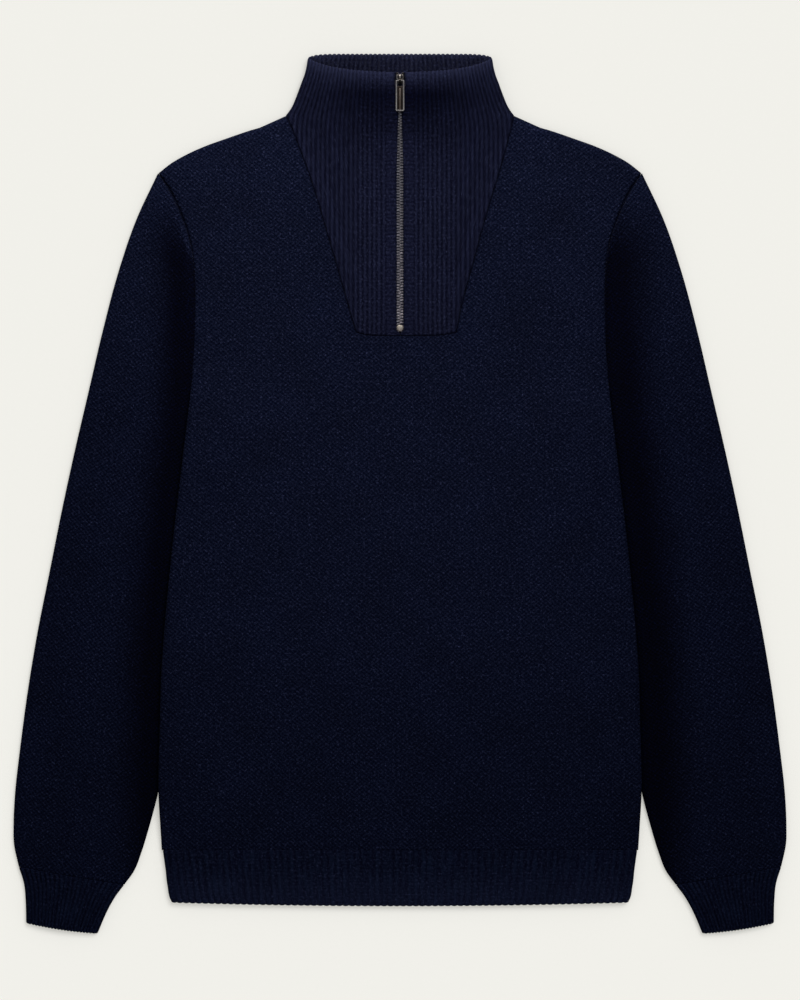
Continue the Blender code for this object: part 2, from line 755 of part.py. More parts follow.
def collar_back_grid(outer):
    """Grid of one face of the collar's back: outer is the plain face on the floor."""
    grid = []
    cells = 2 * BACK_COLLAR_RIBS
    widest = collar_half_width(NECK_CORNER)
    distances, rises = across(2.0 * widest, COLLAR_WALL if not outer else 0.0, COLLAR_REACH, cells)
    share = distances / widest - 1.0
    foot = NECK_CORNER + BACK_NECK_GAP - NECK_DIP * (1.0 - share ** 2)
    fold_cells = len(FOLD_STEPS) - 1
    wave = np.zeros(len(share))
    wave[fold_cells:fold_cells + cells + 1] = rib_wave(cells + 1)
    top = COLLAR_BACK_TOP - BACK_CORNER_DROP * np.abs(share) ** BACK_CORNER_POWER
    for row_share in BACK_COLLAR_SHARES:
        y = blend(foot, top, row_share)
        x = share * collar_half_width(y)
        gap = insert_gap(y, np.abs(share))
        z = sheet_height(-1, outer, COLLAR_WALL, gap, COLLAR_WALL, rises)
        if not outer:
            z = z + COLLAR_RIB_HEIGHT * wave * rises
        grid.append(np.stack([x, y, z], axis=1))
    return np.array(grid)


def make_collar_back(material, parent):
    """Back of the collar, with ribs on the inside of the neck, which is in view."""
    outer = collar_back_grid(True)
    inner = collar_back_grid(False)
    round_lip(outer, inner, -1, BACK_LIP_SHARE)
    return make_wall("collar_back", outer, inner, material, parent)


def insert_underside(x, y):
    """Height of the insert's inner face close to the zip."""
    share = (abs(x) - ZIP_OPENING["half_width"][0]) / collar_half_width(NECK_CORNER)
    gap = insert_gap(np.float64(y), np.clip(share, 0.0, 1.0))
    return float(insert_layers("below", y) + gap)


def make_zip_tape(side, name, material, parent):
    """Zip tape behind one edge of the insert."""
    heights = np.linspace(TAPE_FOOT, TAPE_TOP, TAPE_ROWS)
    places = np.array([TAPE_INNER, (TAPE_INNER + TAPE_OUTER) / 2.0, TAPE_OUTER])
    faces = []
    for down in (LAYER_GAP, LAYER_GAP + TAPE_THICKNESS):
        grid = [[(side * x, y, tape_line(y) - down) for x in places] for y in heights]
        faces.append(np.array(grid))
    return make_wall(name, faces[0], faces[1], material, parent)


def tape_line(y):
    """Height of the insert's underside beside the zip, which the tape follows."""
    return insert_underside(ZIP_OPENING["half_width"][0], y)


def make_strip(name, foot, top, width, thickness, cells, material, parent):
    """Flat bar that lies on the tapes and follows them."""
    heights = np.linspace(foot, top, cells + 1)
    places = np.array([-width / 2.0, width / 2.0])
    lower = np.array([[(x, y, tape_line(y) + CHAIN_RISE) for x in places] for y in heights])
    upper = lower + (0.0, 0.0, thickness)
    return make_wall(name, upper, lower, material, parent)


def make_box(name, size, centre, material, parent, bevel=0.0):
    """Box with its edges slightly rounded."""
    builder = bmesh.new()
    bmesh.ops.create_cube(builder, size=1.0)
    bmesh.ops.scale(builder, vec=[length * MM for length in size], verts=builder.verts)
    if bevel:
        bmesh.ops.bevel(builder, geom=builder.edges[:], offset=bevel * MM, segments=1,
                        affect="EDGES", clamp_overlap=True)
    mesh = finish_mesh(name, builder, METAL_SMOOTH_ANGLE)
    return place_object(name, mesh, material, parent, [length * MM for length in centre])


def make_cutter(name, size, centre, parent):
    """Box that only cuts another piece."""
    cutter = make_box(name, size, centre, bpy.data.materials["gunmetal"], parent)
    cutter.hide_render = True
    cutter.display_type = "WIRE"
    return cutter


def combine(piece, tool, operation):
    """Cut a piece with a tool, or join the tool to it."""
    modifier = piece.modifiers.new(tool.name, "BOOLEAN")
    modifier.operation = operation
    modifier.object = tool
    modifier.solver = "EXACT"
    return modifier


def slider_outline():
    """Outline of the slider from above: broad shoulders, narrow foot."""
    half = SLIDER_WIDTH / 2.0
    neck = SLIDER_NECK_WIDTH / 2.0
    foot = -SLIDER_LENGTH / 2.0
    inward, down = SLIDER_TOP_CORNER
    right = ((neck - SLIDER_NECK_CORNER, foot), (neck, foot + SLIDER_NECK_CORNER),
             (neck, foot + SLIDER_NECK_LENGTH), (half, foot + SLIDER_SHOULDER),
             (half, -foot - down), (half - inward, -foot))
    return right + tuple((-x, y) for x, y in reversed(right))


def make_slider(material, parent):
    """Slider with the arched bridge that holds the pull tab."""
    builder = bmesh.new()
    base = builder.faces.new([builder.verts.new((x * MM, y * MM, 0.0))
                              for x, y in slider_outline()])
    result = bmesh.ops.extrude_face_region(builder, geom=[base])
    raised = [item for item in result["geom"] if isinstance(item, bmesh.types.BMVert)]
    bmesh.ops.translate(builder, vec=(0.0, 0.0, SLIDER_THICKNESS * MM), verts=raised)
    mesh = finish_mesh("zip_slider", builder, METAL_SMOOTH_ANGLE)
    centre_y = SLIDER_FOOT + SLIDER_LENGTH / 2.0
    slider = place_object("zip_slider", mesh, material, parent,
                          (0.0, centre_y * MM, SLIDER_BASE * MM))
    deck = SLIDER_BASE + SLIDER_THICKNESS
    height = BRIDGE_TOP - deck + BRIDGE_SINK
    bridge = make_cutter("bridge_block", (BRIDGE_WIDTH, BRIDGE_LENGTH, height),
                         (0.0, PIVOT_Y, BRIDGE_TOP - height / 2.0), parent)
    opening = BRIDGE_TOP - BRIDGE_BAR - deck
    hole = make_cutter("bridge_hole",
                       (CUT_THROUGH * BRIDGE_WIDTH, BRIDGE_LENGTH - 2.0 * BRIDGE_LEG, opening),
                       (0.0, PIVOT_Y, deck + opening / 2.0), parent)
    combine(slider, bridge, "UNION")
    combine(slider, hole, "DIFFERENCE")
    return slider


def make_pull_tab(material, pivot):
    """Pull tab: a frame round a sunk bare panel, with a window for the slider's bridge."""
    reach = TAB_BAR / 2.0
    length = TAB_LENGTH + reach
    tab = make_box("zip_pull_tab", (TAB_WIDTH, length, TAB_THICKNESS),
                   (0.0, reach - length / 2.0, 0.0), material, pivot, TAB_CORNER)
    inside = TAB_WIDTH - 2.0 * TAB_RIM
    window = make_cutter("tab_window", (inside, TAB_WINDOW, CUT_THROUGH * TAB_THICKNESS),
                         (0.0, -reach - TAB_WINDOW / 2.0, 0.0), pivot)
    recess = make_cutter("tab_recess", (inside, TAB_RECESS_LENGTH, TAB_THICKNESS),
                         (0.0, -TAB_RECESS_START - TAB_RECESS_LENGTH / 2.0,
                          TAB_THICKNESS - TAB_RECESS_DEPTH), pivot)
    combine(tab, window, "DIFFERENCE")
    combine(tab, recess, "DIFFERENCE")
    return tab


def make_zip(garment, pivot, tape, metal, pale):
    """Zip: tapes, chain, stops, slider and pull tab."""
    make_zip_tape(LEFT, "zip_tape_left", tape, garment)
    make_zip_tape(RIGHT, "zip_tape_right", tape, garment)
    make_strip("zip_chain", CHAIN_FOOT, CHAIN_TOP, CHAIN_WIDTH, CHAIN_THICKNESS, CHAIN_CELLS,
               metal, garment)
    make_strip("zip_bottom_stop", CHAIN_FOOT - SEAM_GAP - BOTTOM_STOP_LENGTH,
               CHAIN_FOOT - SEAM_GAP, BOTTOM_STOP_WIDTH, STOP_THICKNESS, 1, pale, garment)
    stop_y = TAPE_TOP - TOP_STOP_LENGTH / 2.0
    stop_z = tape_line(stop_y) + CHAIN_RISE + STOP_THICKNESS / 2.0
    for side, name in ((LEFT, "zip_top_stop_left"), (RIGHT, "zip_top_stop_right")):
        make_box(name, (TOP_STOP_WIDTH, TOP_STOP_LENGTH, STOP_THICKNESS),
                 (side * TOP_STOP_SIDE, stop_y, stop_z), metal, garment, TOP_STOP_BEVEL)
    make_slider(metal, garment)
    make_pull_tab(metal, pivot)


def make_empty(name, parent=None, location=(0.0, 0.0, 0.0)):
    """Empty that other pieces hang on."""
    empty = bpy.data.objects.new(name, None)
    bpy.context.scene.collection.objects.link(empty)
    empty.parent = parent
    empty.location = location
    return empty


def main():
    """Build the sweater."""
    clear_scene()
    knit = make_material("navy_knit", NAVY_KNIT, KNIT_ROUGHNESS)
    rib = make_material("navy_rib", NAVY_RIB, RIB_ROUGHNESS)
    tape = make_material("navy_tape", NAVY_TAPE, TAPE_ROUGHNESS)
    metal = make_material("gunmetal", GUNMETAL, GUNMETAL_ROUGHNESS, 1.0)
    pale = make_material("pale_metal", PALE_METAL, PALE_ROUGHNESS, 1.0)
    garment = make_empty("sweater")
    pivot = make_empty("pull_tab_pivot", garment, (0.0, PIVOT_Y * MM, PIVOT_Z * MM))
    make_front(knit, garment)
    make_back(knit, garment)
    make_sleeve(LEFT, "sleeve_left", knit, garment)
    make_sleeve(RIGHT, "sleeve_right", knit, garment)
    make_cuff(LEFT, "cuff_left", rib, garment)
    make_cuff(RIGHT, "cuff_right", rib, garment)
    hem_cells = 2 * int(round((2.0 * HEM["half_width"][0] - 2.0 * BAND_REACH) / HEM_RIB_PITCH))
    make_hem("hem_front", 1, hem_cells, True, rib, garment)
    make_hem("hem_back", -1, HEM_BACK_CELLS, False, rib, garment)
    make_insert(LEFT, "collar_front_left", rib, garment)
    make_insert(RIGHT, "collar_front_right", rib, garment)
    make_collar_back(rib, garment)
    make_zip(garment, pivot, tape, metal, pale)


main()
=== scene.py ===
"""Quarter zip sweater lying flat on its back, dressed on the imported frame.

Every cloth piece is a thin shell on the form of its solid, worked out from the same sizes in
millimetres, with knitted ribs, rounded edges, seam grooves and soft creases. The zip gets real
teeth, stops, a slider and a pull tab. Left and right are those of someone who looks down at it.
"""

import logging
import math
from collections.abc import Callable
from dataclasses import dataclass, replace
from enum import Enum
from typing import ClassVar

import bpy
import numpy as np
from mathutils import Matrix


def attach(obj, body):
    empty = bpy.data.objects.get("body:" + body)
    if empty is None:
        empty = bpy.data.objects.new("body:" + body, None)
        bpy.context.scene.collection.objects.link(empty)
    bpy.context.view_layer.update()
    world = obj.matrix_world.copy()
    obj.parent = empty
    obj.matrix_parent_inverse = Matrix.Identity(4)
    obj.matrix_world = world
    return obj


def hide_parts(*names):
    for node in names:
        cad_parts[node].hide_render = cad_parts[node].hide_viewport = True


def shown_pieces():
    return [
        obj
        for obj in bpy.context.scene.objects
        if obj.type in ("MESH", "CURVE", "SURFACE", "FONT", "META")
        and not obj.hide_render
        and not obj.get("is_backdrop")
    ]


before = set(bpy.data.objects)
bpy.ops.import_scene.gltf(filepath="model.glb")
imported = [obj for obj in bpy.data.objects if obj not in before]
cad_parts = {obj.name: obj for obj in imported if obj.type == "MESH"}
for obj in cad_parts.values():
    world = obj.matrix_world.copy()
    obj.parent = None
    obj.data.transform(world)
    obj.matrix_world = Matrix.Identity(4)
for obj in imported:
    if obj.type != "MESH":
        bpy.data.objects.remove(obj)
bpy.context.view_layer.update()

LOG = logging.getLogger("sweater")

MM = 0.001
GARMENT, PULL_TAB = "garment", "pull_tab"

Array = np.ndarray
Thing = bpy.types.Object
Material = bpy.types.Material
Socket = bpy.types.NodeSocket
Colour = tuple[float, float, float, float]
Triple = tuple[float, float, float]
Pair = tuple[float, float]

WHITE: Colour = (1.0, 1.0, 1.0, 1.0)
TO_COLLAR = np.array([0.0, 1.0, 0.0])

# Folded sides and round lips are drawn with points at these angles round them
FOLD_ANGLES = np.radians(np.linspace(0.0, 90.0, 7))
FOLD_STEPS = 1.0 - np.cos(FOLD_ANGLES)
FOLD_RISES = np.sin(FOLD_ANGLES)
LIP_ANGLES = np.radians(np.linspace(0.0, 180.0, 11))[1:-1]
LIP_RIB = 0.15


class Side(Enum):
    """Side of the sweater, as the sign of X."""

    LEFT = -1
    RIGHT = 1

    @property
    def label(self) -> str:
        """The side as the names of pieces and nodes give it."""
        return self.name.lower()


class Layer(Enum):
    """Upper or lower sheet of the flat sweater."""

    UPPER = 1
    LOWER = -1


class Slot(Enum):
    """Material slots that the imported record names."""

    KNIT = "navy_knit"
    RIB = "navy_rib"
    TAPE = "navy_tape"
    METAL = "gunmetal"
    PALE = "pale_metal"


def ease(share: Array | float) -> Array:
    """Smooth step from 0 to 1, level at both ends."""
    share = np.clip(share, 0.0, 1.0)
    return share * share * (3.0 - 2.0 * share)


def rising(value: Array, start: float, width: float) -> Array:
    """Smooth step from 0 at a start to 1 at a width above it."""
    return ease((value - start) / width)


def falling(value: Array, start: float, width: float) -> Array:
    """Smooth step from 0 at a start to 1 at a width below it."""
    return ease((start - value) / width)


def blend(start: Array | float, end: Array | float, share: Array | float) -> Array:
    """Straight mix of two values or points."""
    return start + (end - start) * share


def spaced(length: float, step: float, fine: tuple[float, ...] = (0.45, 1.0, 1.8)) -> Array:
    """Shares of a length for its rows or columns.

    Args:
        length: The length in millimetres.
        step: Usual distance between two rows.
        fine: Closer distances from each end, where an edge is rounded.

    Returns:
        Shares from 0 to 1.
    """
    near = np.array(fine)
    count = max(2, round((length - 2.0 * near[-1]) / step))
    inner = np.linspace(near[-1], length - near[-1], count + 1)
    places = np.concatenate([[0.0], near[:-1], inner, length - near[-2::-1], [length]])
    return places / length


def rounded_drop(distance: Array, radius: float) -> Array:
    """How far a rounded edge has dropped at a distance from it."""
    left = np.clip(radius - distance, 0.0, radius)
    return radius - np.sqrt(radius**2 - left**2)


def ridge_wave(place: Array) -> Array:
    """Height from -1 to 1 of a round rib; every whole number is a narrow valley."""
    return 2.0 * np.abs(np.sin(np.pi * place)) ** 0.75 - 1.0


class Curve:
    """Rows of named columns with a smooth curve through them."""

    def __init__(self, names: str, *rows: tuple[float, ...]) -> None:
        """Keep the columns; the first one holds the places of the rows."""
        columns = np.array(rows, dtype=float).T
        self.columns = dict(zip(names.split(), columns))
        self.places = columns[0]

    def cell(self, where: Array | float) -> tuple[Array, Array, Array]:
        """Row before each place, distance from it to the next row and share of that passed.

        Args:
            where: Places along the first column.

        Returns:
            Number of the row, distance and share, for each place.
        """
        where = np.clip(where, self.places[0], self.places[-1])
        index = np.clip(np.searchsorted(self.places, where) - 1, 0, len(self.places) - 2)
        span = self.places[index + 1] - self.places[index]
        return index, span, (where - self.places[index]) / span

    def smooth(self, name: str, where: Array | float) -> Array:
        """Curve through the rows, with its slope carried on from row to row.

        Args:
            name: Column to read.
            where: Places along the first column.

        Returns:
            Values at those places.
        """
        values = self.columns[name]
        slopes = np.gradient(values, self.places)
        index, span, share = self.cell(where)
        start = (1.0 + 2.0 * share) * (1.0 - share) ** 2 * values[index]
        end = share**2 * (3.0 - 2.0 * share) * values[index + 1]
        turn = share * (1.0 - share) ** 2 * slopes[index] - share**2 * (1.0 - share) * slopes[index + 1]
        return start + end + span * turn

    def level(self, name: str, where: Array | float) -> Array:
        """Curve through the rows that never goes past a row's value.

        Args:
            name: Column to read.
            where: Places along the first column.

        Returns:
            Values at those places.
        """
        values = self.columns[name]
        index, _, share = self.cell(where)
        return blend(values[index], values[index + 1], ease(share))

    def points(self, names: str, where: Array) -> Array:
        """Points on the sheet whose X and Y are two smooth columns."""
        return np.stack([self.smooth(name, where) for name in names.split()], axis=1)


class Creases:
    """Soft troughs along lines on the sheet, or ridges where their depth is below 0."""

    taper_share = 0.45
    end_share = 0.25

    def __init__(self, *rows: tuple[float, ...]) -> None:
        """Keep for each line its start and end, as X and Y, its depth, its width and its bow."""
        self.rows = rows

    def drop(self, x: Array, y: Array) -> Array:
        """How far the cloth lies below its even form at points of the sheet.

        Args:
            x: Places across.
            y: Heights on the sheet.

        Returns:
            The sum of what the lines take away, in millimetres.
        """
        total = np.zeros(np.broadcast(x, y).shape)
        for start_x, start_y, end_x, end_y, depth, width, bow in self.rows:
            run_x, run_y = end_x - start_x, end_y - start_y
            length = math.hypot(run_x, run_y)
            forward_x, forward_y = run_x / length, run_y / length
            share = ((x - start_x) * forward_x + (y - start_y) * forward_y) / length
            inside = np.clip(share, 0.0, 1.0)
            across = (y - start_y) * forward_x - (x - start_x) * forward_y
            across = across - bow * 4.0 * inside * (1.0 - inside)
            taper = (ease(share / self.taper_share + self.end_share)
                     * ease((1.0 - share) / self.taper_share + self.end_share))
            total = total + depth * taper * np.exp(-((across / width) ** 2))
        return total


@dataclass(frozen=True)
class Shade:
    """Value along a seam or lip, such as the shade or highlight painted there, and the width in which it
    fades.
    """

    depth: float
    width: float

    def at(self, distance: Array) -> Array:
        """The value at a distance in millimetres."""
        return self.depth * np.exp(-((distance / self.width) ** 2))


def relief(x: Array, y: Array, height: float) -> Array:
    """Slow unevenness of cloth that lies by its own weight.

    Args:
        x: Places across.
        y: Heights on the sheet.
        height: Greatest height in millimetres.

    Returns:
        The cloth's rise in millimetres.
    """
    wide = np.sin(x / 43.0 + 0.6 * np.sin(y / 71.0)) * np.cos(y / 58.0 - 0.4 * np.sin(x / 37.0))
    narrow = np.sin(x / 19.0 - y / 31.0 + 1.3) * np.sin(y / 23.0 + x / 47.0)
    return height * (0.7 * wide + 0.3 * narrow)


def level_direction(vectors: Array) -> Array:
    """Directions of vectors along the floor, of length 1."""
    flat = vectors * np.array([1.0, 1.0, 0.0])
    return flat / np.linalg.norm(flat, axis=1, keepdims=True)


def towards_middle(edge: Array) -> Array:
    """Shift of an edge's points to the middle line, of length 1 at the furthest one."""
    return edge * np.array([-1.0, 0.0, 0.0]) / np.abs(edge[:, 0]).max()


def folded_columns(width: Array | float, reach: float, inset: float, shares: Array) -> tuple[Array, Array]:
    """Columns across a sheet whose two sides are folded down.

    Args:
        width: Width of the rows, as a column, or of all of them.
        reach: Width of a fold.
        inset: How far from the edge the outermost column lies.
        shares: Shares of the flat part between the folds.

    Returns:
        Distance of each column from one edge, and its rise from the edge's level, up to 1.
    """
    fold = inset + (reach - inset) * FOLD_STEPS[:-1] + 0.0 * width
    flat = reach + (width - 2.0 * reach) * shares
    rises = np.concatenate([FOLD_RISES[:-1], np.ones(len(shares)), FOLD_RISES[-2::-1]])
    return np.concatenate([fold, flat, width - fold[..., ::-1]], axis=-1), rises


def rib_columns(ribs: int, cells: int, reach: float, pitch: float) -> tuple[Array, Array]:
    """Columns across a ribbed sheet whose two sides are folded down.

    Args:
        ribs: Ribs between the folds.
        cells: Columns for each rib.
        reach: Width of a fold.
        pitch: Width of a rib.

    Returns:
        Shares of the flat part between the folds, and the place in ribs of every column.
    """
    flat = np.linspace(0.0, 1.0, ribs * cells + 1)
    over = reach * (1.0 - FOLD_STEPS[:-1]) / pitch
    return flat, np.concatenate([-over, flat * ribs, ribs + over[::-1]])


def rib_pattern(points: Array, column: int, place: Array, pitch: float) -> tuple[Array, Array]:
    """Where ribbed cloth lies in its knitting.

    Args:
        points: Grid of points.
        column: Column along which the rows' distances are measured.
        place: Place in ribs of each column.
        pitch: Width of a rib.

    Returns:
        Distance of each row from the first, and the place of each point in the knitting.
    """
    steps = np.linalg.norm(np.diff(points[:, column], axis=0), axis=1)
    run = np.concatenate([[0.0], np.cumsum(steps)])
    return run, np.stack(np.broadcast_arrays(place * pitch, run[:, None]), axis=2)


def ribbed_lip(start: Array, end: Array, outward: Array, wave: Array) -> Array:
    """Rows of points round a free edge, from one face of ribbed cloth to the other.

    Args:
        start: Row of points on the face that shows.
        end: Row of points on the other face.
        outward: Direction, of length 1, in which the edge bulges.
        wave: Height from -1 to 1 of the rib at each column.

    Returns:
        The rows' points.
    """
    middle = (start + end) / 2.0
    radius = np.linalg.norm(start - end, axis=1, keepdims=True) / 2.0
    rows = [middle + (start - middle) * math.cos(a) + outward * radius * math.sin(a) for a in LIP_ANGLES]
    return np.array(rows) + outward * LIP_RIB * wave[None, :, None] * np.sin(LIP_ANGLES)[:, None, None]


@dataclass(frozen=True)
class Tuck:
    """Seam allowance: rows that carry a piece's edge on beneath its neighbour."""

    steps: tuple[float, ...] = (0.6, 2.0, 3.6)
    heights: tuple[float, ...] = (0.7, 0.5, 0.42)
    inset: float = 2.4

    def rows(self, edge: Array, ahead: Array, level: Array | float, shrink: Array) -> Array:
        """Rows beyond an edge, from the nearest one.

        Args:
            edge: Points of the edge.
            ahead: Direction, of length 1, in which the rows go.
            level: Height to which they are drawn.
            shrink: Shift of each point, for each millimetre of inset, that keeps the rows
                inside the neighbour.

        Returns:
            The rows' points.
        """
        rows = []
        for index, (step, height) in enumerate(zip(self.steps, self.heights)):
            row = edge + ahead * step + shrink * self.inset * (index + 1) / len(self.steps)
            row[:, 2] = blend(level, edge[:, 2], height)
            rows.append(row)
        return np.array(rows)


@dataclass
class Cloth:
    """Grid of points on a cloth piece's outer face, and what its finish reads there.

    points are in millimetres. pattern is the place in the knitting, in millimetres of cloth.
    Then, all from 0 to 1: the shade painted at a point in a crease, seam or under a neighbour,
    where a rib gives way to plain knitting, and the pale fuzz of an edge, with a painted
    highlight on the lips. kept is False for cells that are cut away.
    """

    allowance_shade: ClassVar[float] = 0.55
    points: Array
    pattern: Array
    painted_shade: Array
    plain: Array
    nap_and_highlight: Array
    kept: Array | None = None

    def widened(self, rows: Array, first: bool) -> "Cloth":
        """The same cloth with seam allowance before its first row or after its last.

        Args:
            rows: Rows of points, from the nearest to the edge.
            first: Whether they go before the first row.

        Returns:
            The wider cloth.
        """
        edge = 0 if first else -1
        length = np.cumsum(np.linalg.norm(np.diff(np.concatenate([self.points[edge][None], rows]), axis=0),
                                          axis=2), axis=0)
        pattern = np.repeat(self.pattern[edge][None], len(rows), axis=0)
        pattern[:, :, 1] += -length if first else length
        parts = [(rows, self.points), (pattern, self.pattern),
                 (0.0 * length + self.allowance_shade, self.painted_shade), (0.0 * length, self.plain),
                 (0.0 * length, self.nap_and_highlight)]
        if first:
            joined = [np.concatenate([new[::-1], old]) for new, old in parts]
        else:
            joined = [np.concatenate([old, new]) for new, old in parts]
        return Cloth(*joined, self.kept)

    def turned(self) -> "Cloth":
        """The same cloth with its faces turned to the other side."""
        kept = None if self.kept is None else self.kept[:, ::-1]
        return Cloth(self.points[:, ::-1], self.pattern[:, ::-1], self.painted_shade[:, ::-1],
                     self.plain[:, ::-1], self.nap_and_highlight[:, ::-1], kept)


def deselect_all() -> None:
    """Leave nothing selected, so that an operator acts on the new piece alone."""
    bpy.ops.object.select_all(action="DESELECT")


def select_only(piece: Thing) -> None:
    """Leave one piece selected and active."""
    deselect_all()
    piece.select_set(True)
    bpy.context.view_layer.objects.active = piece


def add_piece(name: str, operator: Callable[..., object], **settings: object) -> Thing:
    """Add a primitive as a new piece, with its place in its mesh.

    Args:
        name: Name of the new object.
        operator: Operator that adds the primitive.
        settings: The operator's values by name.

    Returns:
        The new object.
    """
    deselect_all()
    operator(**settings)
    piece = bpy.context.active_object
    piece.name = piece.data.name = name
    bpy.ops.object.transform_apply(location=True, rotation=True)
    return piece


def edit(piece: Thing, *steps: Callable[[], object]) -> None:
    """Run operators in edit mode on the whole of one piece.

    Args:
        piece: Object to edit.
        steps: Calls to make once everything is selected.
    """
    select_only(piece)
    bpy.ops.object.mode_set(mode="EDIT")
    bpy.ops.mesh.select_all(action="SELECT")
    for step in steps:
        step()
    bpy.ops.object.mode_set(mode="OBJECT")


def select_faces(piece: Thing, chosen: Callable[[bpy.types.MeshPolygon], bool]) -> None:
    """Select the faces of a piece that a test picks, by place or normal.

    Args:
        piece: Object in edit mode.
        chosen: Test of one face.
    """
    bpy.ops.object.mode_set(mode="OBJECT")
    for vertex in piece.data.vertices:
        vertex.select = False
    for edge in piece.data.edges:
        edge.select = False
    for face in piece.data.polygons:
        face.select = bool(chosen(face))
    bpy.ops.object.mode_set(mode="EDIT")


def apply_modifier(piece: Thing, kind: str, **settings: object) -> None:
    """Add a modifier to a piece and apply it.

    Args:
        piece: Object to change.
        kind: Blender's name for the modifier.
        settings: The modifier's values by name.
    """
    select_only(piece)
    modifier = piece.modifiers.new(kind.lower(), kind)
    for name, value in settings.items():
        setattr(modifier, name, value)
    bpy.ops.object.modifier_apply(modifier=modifier.name)


def bevel(piece: Thing, width: float, segments: int, angle: float) -> None:
    """Round a piece's edges that are sharper than an angle.

    Args:
        piece: Object to change.
        width: Width of the bevel in millimetres.
        segments: Faces across it.
        angle: The angle in degrees.
    """
    apply_modifier(piece, "BEVEL", width=width * MM, segments=segments, limit_method="ANGLE",
                   angle_limit=math.radians(angle))


def shade(piece: Thing, angle: float) -> None:
    """Shade a piece smooth, but for edges sharper than an angle in degrees."""
    select_only(piece)
    bpy.ops.object.shade_smooth_by_angle(angle=math.radians(angle))


def knit(name: str, cloth: Cloth, thickness: float, weld: bool = False) -> Thing:
    """Make a cloth piece: a grid whose points are moved onto the cloth, then given thickness.

    Args:
        name: Name of the new object.
        cloth: Points and pattern, with rows and columns that turn the faces outward.
        thickness: Thickness of the shell in millimetres, taken inward.
        weld: Whether points at one place are merged, as where a tube closes.

    Returns:
        The new object.
    """
    rows, columns = cloth.painted_shade.shape
    piece = add_piece(name, bpy.ops.mesh.primitive_grid_add, x_subdivisions=columns - 1,
                      y_subdivisions=rows - 1, size=1.0)
    mesh = piece.data
    mesh.vertices.foreach_set("co", (cloth.points * MM).reshape(-1).astype(np.float32))
    corners = np.empty(len(mesh.loops), dtype=np.int32)
    mesh.loops.foreach_get("vertex_index", corners)
    layer = mesh.uv_layers.active
    layer.name = "cloth"
    layer.uv.foreach_set("vector", (cloth.pattern * MM).reshape(-1, 2)[corners].reshape(-1))
    # Point values that the finish reads: painted shade, plain ribs, and fuzz with a painted lip highlight
    for label, values in (("painted_shade", cloth.painted_shade), ("plain", cloth.plain), ("nap_and_highlight", cloth.nap_and_highlight)):
        attribute = mesh.attributes.new(label, "FLOAT", "POINT")
        attribute.data.foreach_set("value", np.clip(values, 0.0, 1.0).reshape(-1).astype(np.float32))
    if cloth.kept is not None:
        cut = ~cloth.kept.reshape(-1)
        edit(piece, lambda: select_faces(piece, lambda face: cut[face.index]),
             lambda: bpy.ops.mesh.delete(type="FACE"))
    if weld:
        edit(piece, lambda: bpy.ops.mesh.remove_doubles(threshold=0.00001))
    mesh.update()
    apply_modifier(piece, "SOLIDIFY", thickness=thickness * MM, offset=-1.0)
    shade(piece, 60.0)
    return piece


def dress(piece: Thing, material: Material, stands_for: tuple[str, ...],
          body: str = GARMENT) -> Thing:
    """Give a piece its finish, its body and the nodes that it stands for.

    Args:
        piece: Object to dress.
        material: Its finish.
        stands_for: CAD nodes that it replaces.
        body: CAD body that it rides on.

    Returns:
        The same object.
    """
    piece.data.materials.clear()
    piece.data.materials.append(material)
    if stands_for:
        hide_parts(*stands_for)
    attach(piece, body)
    piece.data.calc_loop_triangles()
    LOG.info("%s: %d triangles", piece.name, len(piece.data.loop_triangles))
    return piece


@dataclass(frozen=True)
class Cut:
    """Flat cut of a cloth piece in millimetres, with its area where it isn't a rectangle."""

    width: float
    length: float
    share: float = 1.0

    def declare(self, piece: Thing, rests_on: tuple[str, ...]) -> None:
        """Does nothing: the cut of a piece that lies on others is not stated."""


